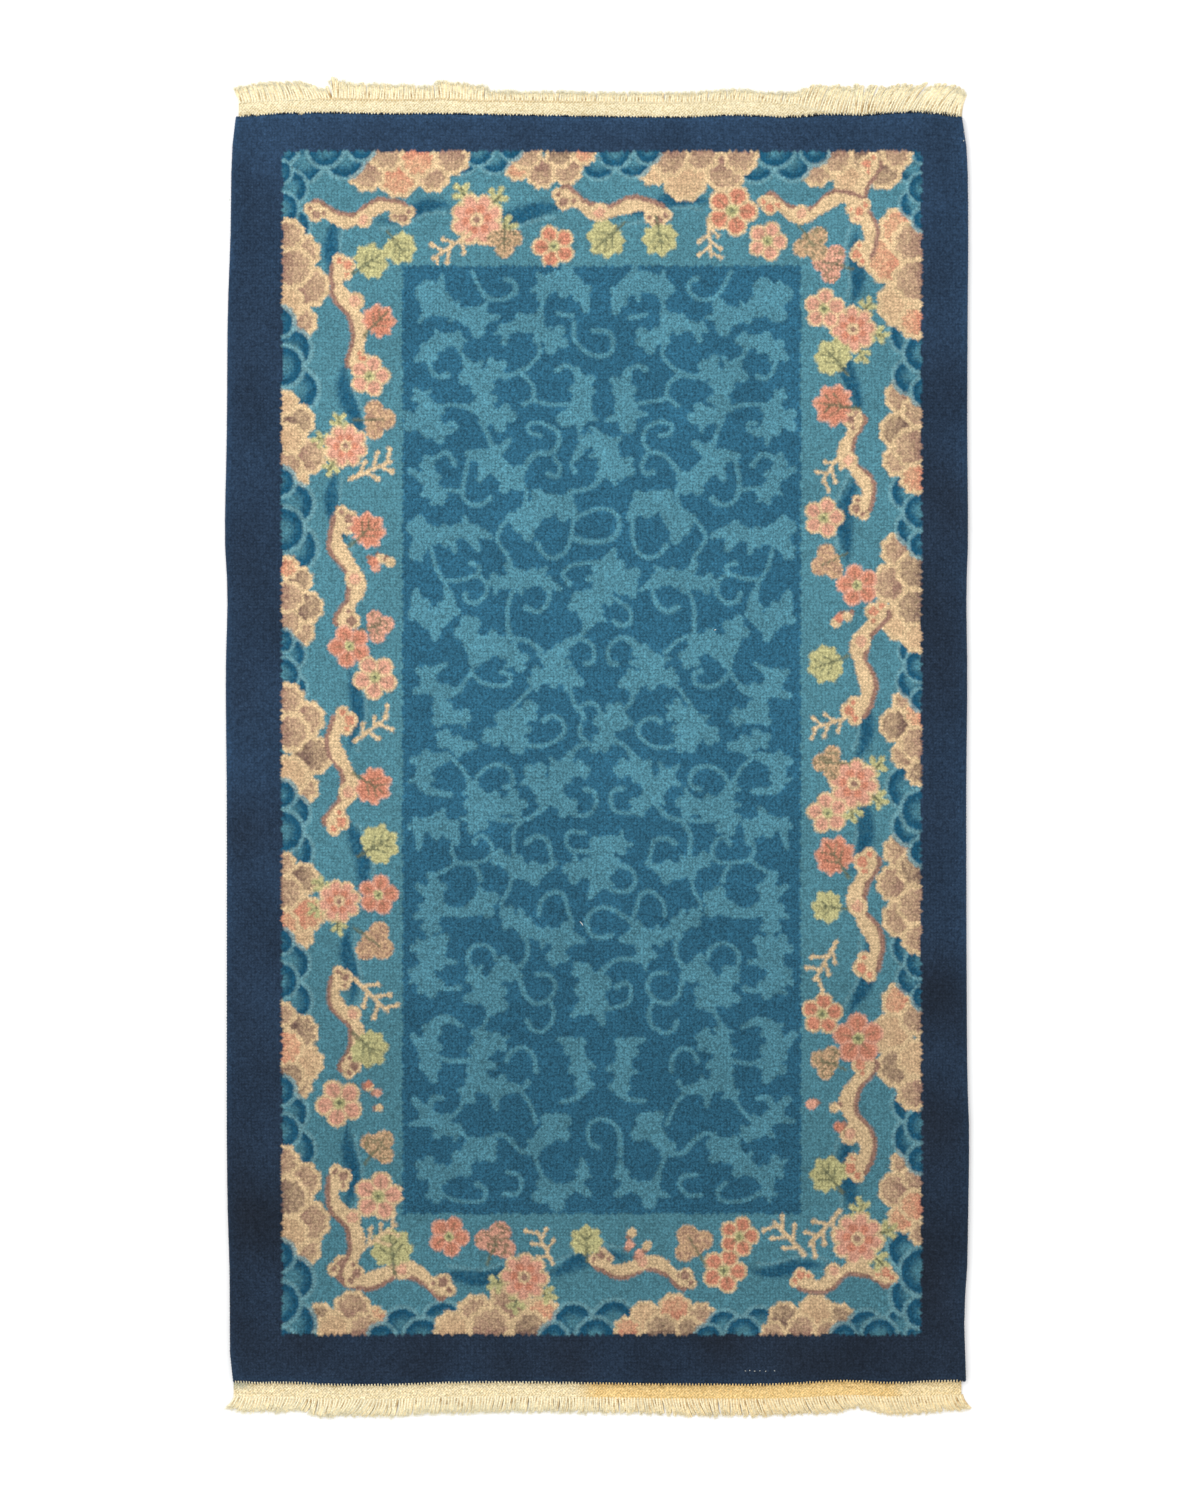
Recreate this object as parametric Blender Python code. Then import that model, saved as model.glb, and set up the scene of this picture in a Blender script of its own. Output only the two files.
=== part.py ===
"""A flat hand-knotted wool rug with a flat-woven cotton band and a cut fringe at each end.

Metres, +Z up. The origin is under the middle of the whole rug, on the surface that it lies on. The rug's
length runs along Y and its width along X.
"""

import math
import random
from typing import NamedTuple

import bmesh
import bpy

MM = 0.001

# The knotted rug. The top fringe reaches a little farther, so the pile's middle lies just below the origin.
PILE_WIDTH = 0.914
PILE_LENGTH = 1.566
PILE_MIDDLE_Y = -0.0014
FOUNDATION_THICKNESS = 0.0035
PILE_HEIGHT = 0.0075
RUG_THICKNESS = FOUNDATION_THICKNESS + PILE_HEIGHT
SIDE_STEPS = 44

# The pile's rounded shoulder: each step's height, as a share of the pile's, and how far it is drawn in.
SHOULDER_INSET = 0.0045
SHOULDER_STEPS = ((0.62, 0.10), (0.90, 0.45), (1.00, 1.00))

# Widths of the plain outer band and of the patterned border inside it.
BAND_LEFT, BAND_RIGHT = 0.067, 0.057
BAND_TOP, BAND_BOTTOM = 0.048, 0.061
BORDER_LEFT, BORDER_RIGHT = 0.151, 0.148
BORDER_TOP, BORDER_BOTTOM = 0.137, 0.146

# The flat-woven ends and their fringe. Each panel of a woven band carries a few strands.
WEAVE_THICKNESS = 0.0028
WEAVE_GAP = 0.0003
STRANDS_PER_PANEL = 4
PANELS = 37
STRANDS = STRANDS_PER_PANEL * PANELS
STRAND_ROOT_WIDTH = 0.0034
STRAND_TIP_WIDTH = 0.0021
STRAND_TIP_HEIGHT = 0.0017
STRAND_TIP_GAP = 0.0009
STRAND_BOW = 0.10
LENGTH_SPREAD = 0.05
LEAN_SPREAD = math.radians(1.2)
FRINGE_SEED = 11


class SideSection(NamedTuple):
    """Millimetres by which the two long edges stand out of straight ones, at one place along the rug."""

    y: float
    left: float
    right: float


class EndSection(NamedTuple):
    """Millimetres by which the pile's two ends stand out of straight ones, at one place across the rug."""

    x: float
    top: float
    bottom: float


class FringeSection(NamedTuple):
    """The woven band's depth and the strands' length in millimetres, and their lean to +X in degrees."""

    x: float
    weave: float
    length: float
    lean: float


SIDES = (
    SideSection(y=-0.784, left=-7.8, right=-1.4),
    SideSection(y=-0.766, left=-4.4, right=-1.8),
    SideSection(y=-0.697, left=-3.6, right=-3.6),
    SideSection(y=-0.647, left=-3.4, right=-0.2),
    SideSection(y=-0.573, left=-1.1, right=+1.3),
    SideSection(y=-0.474, left=+0.1, right=+2.4),
    SideSection(y=-0.400, left=+0.1, right=+0.1),
    SideSection(y=-0.064, left=+0.1, right=-1.1),
    SideSection(y=+0.092, left=+1.3, right=+0.1),
    SideSection(y=+0.191, left=-0.8, right=-1.0),
    SideSection(y=+0.259, left=+2.4, right=+1.0),
    SideSection(y=+0.388, left=+0.1, right=+0.1),
    SideSection(y=+0.538, left=-1.2, right=+0.6),
    SideSection(y=+0.636, left=-4.6, right=+1.3),
    SideSection(y=+0.734, left=-6.2, right=-0.2),
    SideSection(y=+0.780, left=-11.0, right=-6.1),
)

ENDS = (
    EndSection(x=-0.447, top=-1.9, bottom=-1.6),
    EndSection(x=-0.436, top=-0.6, bottom=+0.5),
    EndSection(x=-0.416, top=+0.6, bottom=-0.7),
    EndSection(x=-0.376, top=+2.4, bottom=-0.2),
    EndSection(x=-0.327, top=+2.8, bottom=+2.2),
    EndSection(x=-0.253, top=+1.2, bottom=+2.2),
    EndSection(x=-0.203, top=+1.9, bottom=+0.2),
    EndSection(x=-0.154, top=+0.8, bottom=-0.9),
    EndSection(x=-0.080, top=-0.5, bottom=-0.9),
    EndSection(x=-0.006, top=-1.8, bottom=+0.4),
    EndSection(x=+0.106, top=-2.7, bottom=+1.8),
    EndSection(x=+0.167, top=-0.1, bottom=+1.9),
    EndSection(x=+0.192, top=-1.1, bottom=+2.3),
    EndSection(x=+0.242, top=-2.9, bottom=+0.8),
    EndSection(x=+0.291, top=+1.0, bottom=-2.4),
    EndSection(x=+0.320, top=-1.0, bottom=-2.5),
    EndSection(x=+0.368, top=+2.4, bottom=+0.1),
    EndSection(x=+0.414, top=+2.8, bottom=-2.4),
    EndSection(x=+0.439, top=-1.4, bottom=-2.4),
    EndSection(x=+0.452, top=-2.6, bottom=-2.9),
)

TOP_FRINGE = (
    FringeSection(x=-0.443, weave=18.0, length=18.0, lean=-22),
    FringeSection(x=-0.412, weave=17.8, length=21.5, lean=-25),
    FringeSection(x=-0.366, weave=17.8, length=24.5, lean=-28),
    FringeSection(x=-0.342, weave=17.8, length=22.5, lean=-38),
    FringeSection(x=-0.331, weave=17.8, length=10.5, lean=-30),
    FringeSection(x=-0.324, weave=17.8, length=26.0, lean=-5),
    FringeSection(x=-0.312, weave=18.0, length=19.5, lean=0),
    FringeSection(x=-0.243, weave=18.0, length=18.0, lean=2),
    FringeSection(x=-0.206, weave=17.8, length=15.0, lean=0),
    FringeSection(x=-0.194, weave=19.2, length=21.0, lean=0),
    FringeSection(x=-0.160, weave=17.8, length=20.0, lean=3),
    FringeSection(x=-0.143, weave=17.8, length=18.5, lean=4),
    FringeSection(x=-0.132, weave=17.8, length=10.5, lean=0),
    FringeSection(x=+0.030, weave=19.0, length=10.0, lean=6),
    FringeSection(x=+0.115, weave=19.0, length=10.8, lean=8),
    FringeSection(x=+0.170, weave=19.6, length=12.0, lean=12),
    FringeSection(x=+0.203, weave=19.0, length=10.0, lean=16),
    FringeSection(x=+0.243, weave=18.5, length=12.5, lean=18),
    FringeSection(x=+0.262, weave=12.0, length=28.5, lean=20),
    FringeSection(x=+0.282, weave=4.0, length=34.5, lean=14),
    FringeSection(x=+0.318, weave=2.5, length=35.5, lean=6),
    FringeSection(x=+0.360, weave=2.5, length=38.0, lean=25),
    FringeSection(x=+0.405, weave=2.5, length=39.2, lean=27),
    FringeSection(x=+0.452, weave=2.5, length=34.0, lean=15),
)

BOTTOM_FRINGE = (
    FringeSection(x=-0.449, weave=18.8, length=18.2, lean=-42),
    FringeSection(x=-0.435, weave=18.8, length=18.0, lean=-27),
    FringeSection(x=-0.405, weave=19.0, length=18.0, lean=-19),
    FringeSection(x=-0.377, weave=19.2, length=20.5, lean=-34),
    FringeSection(x=-0.360, weave=19.0, length=16.0, lean=-26),
    FringeSection(x=-0.338, weave=19.0, length=20.5, lean=-12),
    FringeSection(x=-0.311, weave=19.0, length=23.5, lean=-34),
    FringeSection(x=-0.285, weave=19.0, length=24.5, lean=-43),
    FringeSection(x=-0.250, weave=19.0, length=19.5, lean=-10),
    FringeSection(x=-0.145, weave=19.0, length=18.2, lean=-12),
    FringeSection(x=-0.008, weave=18.8, length=16.8, lean=-3),
    FringeSection(x=+0.055, weave=18.8, length=17.5, lean=10),
    FringeSection(x=+0.125, weave=19.0, length=22.5, lean=27),
    FringeSection(x=+0.160, weave=19.0, length=17.8, lean=4),
    FringeSection(x=+0.188, weave=18.8, length=21.2, lean=20),
    FringeSection(x=+0.288, weave=19.8, length=21.5, lean=36),
    FringeSection(x=+0.311, weave=19.2, length=16.5, lean=38),
    FringeSection(x=+0.334, weave=18.8, length=23.5, lean=34),
    FringeSection(x=+0.368, weave=18.5, length=23.8, lean=26),
    FringeSection(x=+0.415, weave=19.0, length=20.0, lean=24),
    FringeSection(x=+0.452, weave=19.2, length=19.5, lean=36),
)


class End(NamedTuple):
    """One end of the rug: its name, its sign along Y, its woven band's two ends, and its fringe."""

    name: str
    side: int
    left: float
    right: float
    fringe: tuple


TOP_END = End(name="top", side=1, left=-0.4426, right=0.4488, fringe=TOP_FRINGE)
BOTTOM_END = End(name="bottom", side=-1, left=-0.4488, right=0.4500, fringe=BOTTOM_FRINGE)


class Finish(NamedTuple):
    """A plain surface: its linear colour and its roughness."""

    name: str
    colour: tuple
    roughness: float


NAVY_WOOL = Finish("navy_wool", (0.024, 0.050, 0.099, 1.0), 0.95)
TURQUOISE_WOOL = Finish("turquoise_wool", (0.089, 0.264, 0.330, 1.0), 0.95)
TEAL_WOOL = Finish("teal_wool", (0.033, 0.134, 0.202, 1.0), 0.95)
IVORY_COTTON = Finish("ivory_cotton", (0.895, 0.770, 0.500, 1.0), 0.90)


def read_table(table, at, column):
    """A column's value at a place, on a smooth curve through the table's rows."""
    places = [row[0] for row in table]
    values = [getattr(row, column) for row in table]
    last = len(table) - 1
    at = min(max(at, places[0]), places[last])
    low = max(k for k in range(last) if places[k] <= at)

    def slope(k):
        before, after = max(k - 1, 0), min(k + 1, last)
        return (values[after] - values[before]) / (places[after] - places[before])

    span = places[low + 1] - places[low]
    t = (at - places[low]) / span
    return (
        (2 * t**3 - 3 * t**2 + 1) * values[low]
        + (t**3 - 2 * t**2 + t) * span * slope(low)
        + (3 * t**2 - 2 * t**3) * values[low + 1]
        + (t**3 - t**2) * span * slope(low + 1)
    )


# The rug's outline


def side_x(side_name, y):
    """X of one long edge at a place along the rug."""
    sign = {"left": -1, "right": 1}[side_name]
    return sign * (PILE_WIDTH / 2 + read_table(SIDES, y, side_name) * MM)


def pile_end_y(end, x):
    """Y of the pile's edge at one end, at a place across the rug."""
    return PILE_MIDDLE_Y + end.side * (PILE_LENGTH / 2 + read_table(ENDS, x, end.name) * MM)


def weave_end_y(end, x):
    """Y of the woven band's outer edge, where the fringe leaves it."""
    return pile_end_y(end, x) + end.side * read_table(end.fringe, x, "weave") * MM


def strand_pitch(end):
    """The distance between two strands of one end's fringe."""
    return (end.right - end.left) / STRANDS


def panel_x(end, index):
    """The place across the rug where one panel of an end's woven band begins."""
    return end.left + index * STRANDS_PER_PANEL * strand_pitch(end)


def corner(end, side_name):
    """The pile's corner where one end meets the long edge of that name."""
    x = side_x(side_name, end.side * PILE_LENGTH / 2)
    return (x, pile_end_y(end, x))


def end_edge(end):
    """The pile's edge at one end, from its left corner to its right one, with a point at each panel."""
    inner = [panel_x(end, k) for k in range(1, PANELS)]
    return [corner(end, "left"), *((x, pile_end_y(end, x)) for x in inner), corner(end, "right")]


def side_edge(side_name):
    """A long edge of the pile from bottom to top, without its corners."""
    low, high = corner(BOTTOM_END, side_name)[1], corner(TOP_END, side_name)[1]
    places = [low + (high - low) * k / SIDE_STEPS for k in range(1, SIDE_STEPS)]
    return [(side_x(side_name, y), y) for y in places]


def height_on_chord(edge, x):
    """Y at a place across the rug on an edge of straight pieces."""
    pieces = list(zip(edge, edge[1:]))
    (x0, y0), (x1, y1) = next((piece for piece in pieces if x <= piece[1][0]), pieces[-1])
    return y0 + (y1 - y0) * (x - x0) / (x1 - x0)


# Materials and objects


def finish_material(finish):
    """A Principled material of one finish."""
    material = bpy.data.materials.new(finish.name)
    material.use_nodes = True
    shader = material.node_tree.nodes["Principled BSDF"]
    shader.inputs["Base Color"].default_value = finish.colour
    shader.inputs["Roughness"].default_value = finish.roughness
    shader.inputs["Metallic"].default_value = 0.0
    material.diffuse_color = finish.colour
    return material


def object_from(name, builder, finishes):
    """Turns a finished bmesh into an object with one material slot for each finish."""
    builder.normal_update()
    mesh = bpy.data.meshes.new(name)
    builder.to_mesh(mesh)
    builder.free()
    for finish in finishes:
        mesh.materials.append(finish_material(finish))
    mesh.shade_smooth()
    mesh.set_sharp_from_angle(angle=math.radians(40))
    made = bpy.data.objects.new(name, mesh)
    bpy.context.scene.collection.objects.link(made)
    return made


# The knotted rug


def outline_runs():
    """The rug's outline against the clock, as four runs that each start at a corner."""
    bottom, top = end_edge(BOTTOM_END), end_edge(TOP_END)
    return {
        "bottom": bottom[:-1],
        "right": [bottom[-1], *side_edge("right")],
        "top": list(reversed(top))[:-1],
        "left": [top[0], *reversed(side_edge("left"))],
    }


def loop_at(builder, runs, height, inset):
    """The outline's vertices at one height, drawn in by an inset, in the same four runs."""
    loop = []
    for name, points in runs.items():
        across = inset if name in ("left", "right") else 0.0
        along = inset if name in ("top", "bottom") else 0.0
        insets = [(inset, inset)] + [(across, along)] * (len(points) - 1)
        loop.append(
            [
                builder.verts.new((x - math.copysign(dx, x), y - math.copysign(dy, y), height))
                for (x, y), (dx, dy) in zip(points, insets)
            ]
        )
    return loop


def ring_faces(builder, lower, upper):
    """Walls between two loops with the same number of vertices, facing out."""
    for k in range(len(lower)):
        after = (k + 1) % len(lower)
        builder.faces.new((lower[k], lower[after], upper[after], upper[k]))


def rectangle(builder, left, right, bottom, top, height):
    """Four vertices at the corners of a level rectangle, against the clock."""
    places = ((left, bottom), (right, bottom), (right, top), (left, top))
    return [builder.verts.new((x, y, height)) for x, y in places]


def colour_zone(builder, outer_runs, inner, material_index):
    """The level faces between an outline of four runs and the corners of a rectangle inside it."""
    for k, run in enumerate(outer_runs):
        after = (k + 1) % 4
        face = builder.faces.new([*run, outer_runs[after][0], inner[after], inner[k]])
        face.material_index = material_index


def make_pile_rug():
    """The knotted rug: an upright foundation edge, a rounded shoulder and a flat top in three grounds."""
    runs = outline_runs()
    builder = bmesh.new()
    levels = [(0.0, 0.0), (FOUNDATION_THICKNESS, 0.0)]
    for rise, drawn_in in SHOULDER_STEPS:
        levels.append((FOUNDATION_THICKNESS + rise * PILE_HEIGHT, drawn_in * SHOULDER_INSET))
    loops = [loop_at(builder, runs, height, inset) for height, inset in levels]
    rings = [[vertex for run in loop for vertex in run] for loop in loops]
    for lower, upper in zip(rings, rings[1:]):
        ring_faces(builder, lower, upper)
    builder.faces.new(list(reversed(rings[0])))

    left, right = -PILE_WIDTH / 2 + BAND_LEFT, PILE_WIDTH / 2 - BAND_RIGHT
    bottom = PILE_MIDDLE_Y - PILE_LENGTH / 2 + BAND_BOTTOM
    top = PILE_MIDDLE_Y + PILE_LENGTH / 2 - BAND_TOP
    border = rectangle(builder, left, right, bottom, top, RUG_THICKNESS)
    field = rectangle(
        builder,
        left + BORDER_LEFT,
        right - BORDER_RIGHT,
        bottom + BORDER_BOTTOM,
        top - BORDER_TOP,
        RUG_THICKNESS,
    )
    colour_zone(builder, loops[-1], border, 0)
    colour_zone(builder, [[vertex] for vertex in border], field, 1)
    builder.faces.new(field).material_index = 2
    return object_from("pile_rug", builder, (NAVY_WOOL, TURQUOISE_WOOL, TEAL_WOOL))


# The woven ends and their fringe


def strand_lines(end):
    """The middle and the tip of each strand's centreline, on the floor, from left to right."""
    draw = random.Random(FRINGE_SEED + end.side)
    lines, last_tip = [], -PILE_WIDTH
    for k in range(STRANDS):
        x = end.left + (k + 0.5) * strand_pitch(end)
        root_y = weave_end_y(end, x)
        length = read_table(end.fringe, x, "length") * MM * (1 + draw.uniform(-1, 1) * LENGTH_SPREAD)
        lean = math.radians(read_table(end.fringe, x, "lean")) + draw.uniform(-1, 1) * LEAN_SPREAD
        tip_x = max(x + length * math.sin(lean), last_tip + STRAND_TIP_WIDTH + STRAND_TIP_GAP)
        tip_y = root_y + end.side * length * math.cos(lean)
        middle = ((x + tip_x) / 2 - STRAND_BOW * (tip_x - x), (root_y + tip_y) / 2)
        lines.append((middle, (tip_x, tip_y)))
        last_tip = tip_x
    return lines


def place_end_face(face, centre, width, height):
    """Moves a strand's end face to a place along the strand, standing on the floor."""
    middle = sum(vertex.co.x for vertex in face.verts) / len(face.verts)
    lowest = min(vertex.co.z for vertex in face.verts)
    for vertex in face.verts:
        sign = 1 if vertex.co.x > middle else -1
        z = 0.0 if vertex.co.z == lowest else height
        vertex.co = (centre[0] + sign * width / 2, centre[1], z)


def grow_strand(builder, root_face, line):
    """Draws one strand out of the band's outer wall in two lengths, narrower and lower towards its tip."""
    middle, tip = line
    half_way = (
        (STRAND_ROOT_WIDTH + STRAND_TIP_WIDTH) / 2,
        (WEAVE_THICKNESS + STRAND_TIP_HEIGHT) / 2,
    )
    face = root_face
    for centre, size in ((middle, half_way), (tip, (STRAND_TIP_WIDTH, STRAND_TIP_HEIGHT))):
        face = bmesh.ops.extrude_discrete_faces(builder, faces=[face])["faces"][0]
        place_end_face(face, centre, *size)


class BandBuilder:
    """Builds one woven band from upright pairs of vertices, a panel at a time."""

    def __init__(self, end):
        self.end = end
        self.builder = bmesh.new()
        self.inner_edge = end_edge(end)

    def pair(self, x, y):
        """A vertex on the floor and one above it at the band's top."""
        return [self.builder.verts.new((x, y, z)) for z in (0.0, WEAVE_THICKNESS)]

    def inner_pair(self, panel):
        """The pair at the pile's edge where a panel begins."""
        x = panel_x(self.end, panel)
        return self.pair(x, height_on_chord(self.inner_edge, x) + self.end.side * WEAVE_GAP)

    def outer_pair(self, x):
        """A pair on the edge that the fringe leaves."""
        return self.pair(x, weave_end_y(self.end, x))

    def face(self, corners):
        """A face whose corners run against the clock on the bottom end, and so with it on the top one."""
        return self.builder.faces.new(corners if self.end.side < 0 else list(reversed(corners)))

    def wall(self, start, finish):
        """An upright face between two pairs."""
        return self.face([start[0], finish[0], finish[1], start[1]])

    def panel(self, panel, inner, first):
        """One panel: its outer wall with the strands' roots, its inner wall, its top and its underside."""
        pitch = strand_pitch(self.end)
        outer = [first]
        for k in range(STRANDS_PER_PANEL):
            x = panel_x(self.end, panel) + (k + 0.5) * pitch
            outer += [self.outer_pair(x + half * STRAND_ROOT_WIDTH / 2) for half in (-1, 1)]
        outer.append(self.outer_pair(panel_x(self.end, panel + 1)))
        walls = [self.wall(start, finish) for start, finish in zip(outer, outer[1:])]
        next_inner = self.inner_pair(panel + 1)
        self.wall(next_inner, inner)
        around = [inner, *outer, next_inner]
        self.face([pair[1] for pair in around])
        self.face([pair[0] for pair in reversed(around)])
        return next_inner, outer[-1], walls[1::2]


def make_woven_end(end):
    """The woven band at one end, with the fringe drawn out of its outer wall."""
    band = BandBuilder(end)
    inner, outer = band.inner_pair(0), band.outer_pair(panel_x(end, 0))
    band.wall(inner, outer)
    roots = []
    for panel in range(PANELS):
        inner, outer, panel_roots = band.panel(panel, inner, outer)
        roots += panel_roots
    band.wall(outer, inner)
    for root_face, line in zip(roots, strand_lines(end)):
        grow_strand(band.builder, root_face, line)
    return object_from(f"end_weave_{end.name}", band.builder, (IVORY_COTTON,))


def main():
    """Clears the scene and makes the rug's three pieces."""
    for old in list(bpy.data.objects):
        bpy.data.objects.remove(old, do_unlink=True)
    make_pile_rug()
    make_woven_end(TOP_END)
    make_woven_end(BOTTOM_END)


main()
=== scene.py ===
"""The looks of a hand-knotted Chinese rug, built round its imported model.

Everything is in metres, +Z up. The rug lies on the floor with its length along Y.
"""

import logging
import math
import random
from dataclasses import dataclass
from enum import Enum
from typing import ClassVar

import bpy
import numpy as np
from bpy.types import Material, Node, NodeSocket, Object
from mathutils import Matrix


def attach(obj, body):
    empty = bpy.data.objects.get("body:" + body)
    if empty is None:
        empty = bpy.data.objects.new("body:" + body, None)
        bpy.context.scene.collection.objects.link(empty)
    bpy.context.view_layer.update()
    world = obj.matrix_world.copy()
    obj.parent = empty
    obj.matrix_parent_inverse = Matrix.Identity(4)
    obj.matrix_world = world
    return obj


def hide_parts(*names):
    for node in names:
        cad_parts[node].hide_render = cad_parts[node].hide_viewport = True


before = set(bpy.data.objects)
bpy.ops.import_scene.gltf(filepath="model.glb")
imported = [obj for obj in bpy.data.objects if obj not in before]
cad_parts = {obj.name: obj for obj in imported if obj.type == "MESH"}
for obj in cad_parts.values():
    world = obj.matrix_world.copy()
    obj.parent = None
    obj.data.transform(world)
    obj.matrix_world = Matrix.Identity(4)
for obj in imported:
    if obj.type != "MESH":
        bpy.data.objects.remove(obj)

Array = np.ndarray
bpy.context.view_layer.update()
STUDIO_LIGHT = 1.18  # how much brighter the studio is than plain light
log = logging.getLogger("rug")


# The weaver's chart: where each colour of yarn is knotted.


class Dye(Enum):
    """The dyed yarns, as the colours that they show in plain light."""

    # NAVY_LIGHT and NAVY_DARK are one navy yarn: the band is blended between them by painted nap sheen and
    # shade, by wear and by random mottle.
    NAVY_LIGHT = (49, 74, 102)
    NAVY_DARK = (36, 48, 64)
    TURQUOISE = (88, 145, 160)
    TEAL = (50, 107, 134)
    DEEP_TEAL = (30, 92, 122)
    PALE_TEAL = (122, 172, 182)
    SCROLL = (89, 148, 166)
    CREAM = (240, 208, 163)
    SAND = (222, 183, 144)
    TAUPE = (168, 130, 114)
    UMBER = (128, 100, 92)
    CORAL = (226, 150, 122)
    ROSE = (238, 176, 150)
    PALE_GREEN = (208, 202, 145)
    OLIVE = (112, 118, 92)

    @property
    def linear(self) -> Array:
        """The colour as linear light."""
        share = np.array(self.value) / 255.0
        return np.where(share <= 0.04045, share / 12.92, ((share + 0.055) / 1.055) ** 2.4) / STUDIO_LIGHT


def soft_step(low: float, high: float, value: Array) -> Array:
    """A smooth rise from 0 at low to 1 at high."""
    share = np.clip((value - low) / (high - low), 0.0, 1.0)
    return share * share * (3.0 - 2.0 * share)


def drift(x: Array, y: Array, reach: float, seed: int) -> Array:
    """A smooth wandering value between about -1 and 1.

    Args:
        x: Places across, in metres.
        y: Places along, in metres.
        reach: The size of its waves, in metres.
        seed: Which of its patterns to draw.

    Returns:
        One value for each place.
    """
    draw = np.random.default_rng(seed)
    total = np.zeros(np.shape(x))
    for octave in range(5):
        angle, phase = draw.uniform(0.0, math.tau, 2)
        rate = math.tau / (reach * draw.uniform(0.7, 1.5))
        total += np.sin(rate * (x * math.cos(angle) + y * math.sin(angle)) + phase)
    return total / 3.0


def disc(u: Array, v: Array, centre: tuple, radius: float) -> Array:
    """The distance outside a disc."""
    return np.hypot(u - centre[0], v - centre[1]) - radius


def taper(u: Array, v: Array, start: tuple, end: tuple, radii: tuple) -> Array:
    """The distance outside a straight stroke that narrows from one radius to the other.

    Args:
        u: Places across, in the motif's own frame.
        v: Places along, in the motif's own frame.
        start: Where the stroke begins.
        end: Where the stroke ends.
        radii: Its half width at both places.

    Returns:
        One distance for each place, negative inside.
    """
    du, dv = end[0] - start[0], end[1] - start[1]
    share = np.clip(((u - start[0]) * du + (v - start[1]) * dv) / (du * du + dv * dv + 1e-12), 0.0, 1.0)
    gap = np.hypot(u - start[0] - share * du, v - start[1] - share * dv)
    return gap - (radii[0] + (radii[1] - radii[0]) * share)


def stroke(u: Array, v: Array, path: list, radii: list) -> Array:
    """The distance outside a bent stroke, given its points and its half widths there."""
    spans = zip(path, path[1:], radii, radii[1:])
    return np.minimum.reduce([taper(u, v, start, end, (r0, r1)) for start, end, r0, r1 in spans])


def lobed_leaf(u: Array, v: Array, bend: float = 0.0) -> Array:
    """The distance outside a lobed leaf of length 1 that grows along +u from the origin.

    Args:
        u: Places along the leaf.
        v: Places across the leaf.
        bend: How far its middle line curves.

    Returns:
        One distance for each place, negative inside.
    """
    v = v - bend * u * u
    lobes = (
        ((0.14, 0.00), (0.22, 0.31), 0.115),
        ((0.20, 0.00), (0.36, -0.27), 0.115),
        ((0.42, 0.00), (0.58, 0.36), 0.130),
        ((0.52, 0.00), (0.76, -0.25), 0.120),
        ((0.62, 0.00), (0.92, 0.14), 0.125),
    )
    parts = [taper(u, v, (0.0, 0.0), (0.70, 0.0), (0.065, 0.135))]
    parts += [taper(u, v, start, end, (0.10, radius)) for start, end, radius in lobes]
    return np.minimum.reduce(parts)


@dataclass(frozen=True)
class Plan:
    """How many knots the rug and its zones have, and how large they are."""

    columns: int = 240
    rows: int = 411
    width: float = 0.914
    length: float = 1.566
    middle_y: float = -0.0014
    band_left: int = 18
    band_right: int = 15
    band_bottom: int = 16
    band_top: int = 12
    border_left: int = 39
    border_right: int = 39
    border_bottom: int = 39
    border_top: int = 37

    @property
    def pitch(self) -> tuple[float, float]:
        """The knots' spacing across and along the rug."""
        return self.width / self.columns, self.length / self.rows

    def column_x(self, column: float) -> float:
        """X of the left edge of a column of knots."""
        return -self.width / 2 + column * self.pitch[0]

    def row_y(self, row: float) -> float:
        """Y of the lower edge of a row of knots."""
        return self.middle_y - self.length / 2 + row * self.pitch[1]

    def border_span(self) -> tuple[int, int, int, int]:
        """The border's first and last column and row, with its field."""
        return self.band_left, self.columns - self.band_right, self.band_bottom, self.rows - self.band_top

    def field_span(self) -> tuple[int, int, int, int]:
        """The field's first and last column and row.

        Returns:
            The four numbers.
        """
        left, right, bottom, top = self.border_span()
        return (
            left + self.border_left,
            right - self.border_right,
            bottom + self.border_bottom,
            top - self.border_top,
        )


class Canvas:
    """Some of the chart's knots, and the colours that are given to them."""

    def __init__(self, x: Array, y: Array, ground: Dye, seed: int) -> None:
        """Takes the knots' places and gives all of them the ground colour.

        Args:
            x: Places across the rug, in metres.
            y: Places along the rug, in metres.
            ground: The dye that they start with.
            seed: Which random draws to use.
        """
        self.x = x
        self.y = y
        self.order = np.argsort(y)
        self.heights = y[self.order]
        self.colour = np.tile(ground.linear, (len(x), 1))
        self.chance = np.random.default_rng(seed).random(len(x))

    def near(self, x: float, y: float, reach: float) -> Array:
        """Which knots lie within a square round a place.

        Args:
            x: The place across.
            y: The place along.
            reach: The distance, in metres.

        Returns:
            The numbers of the places.
        """
        low, high = np.searchsorted(self.heights, (y - reach, y + reach))
        level = self.order[low:high]
        return level[np.abs(self.x[level] - x) < reach]


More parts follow.
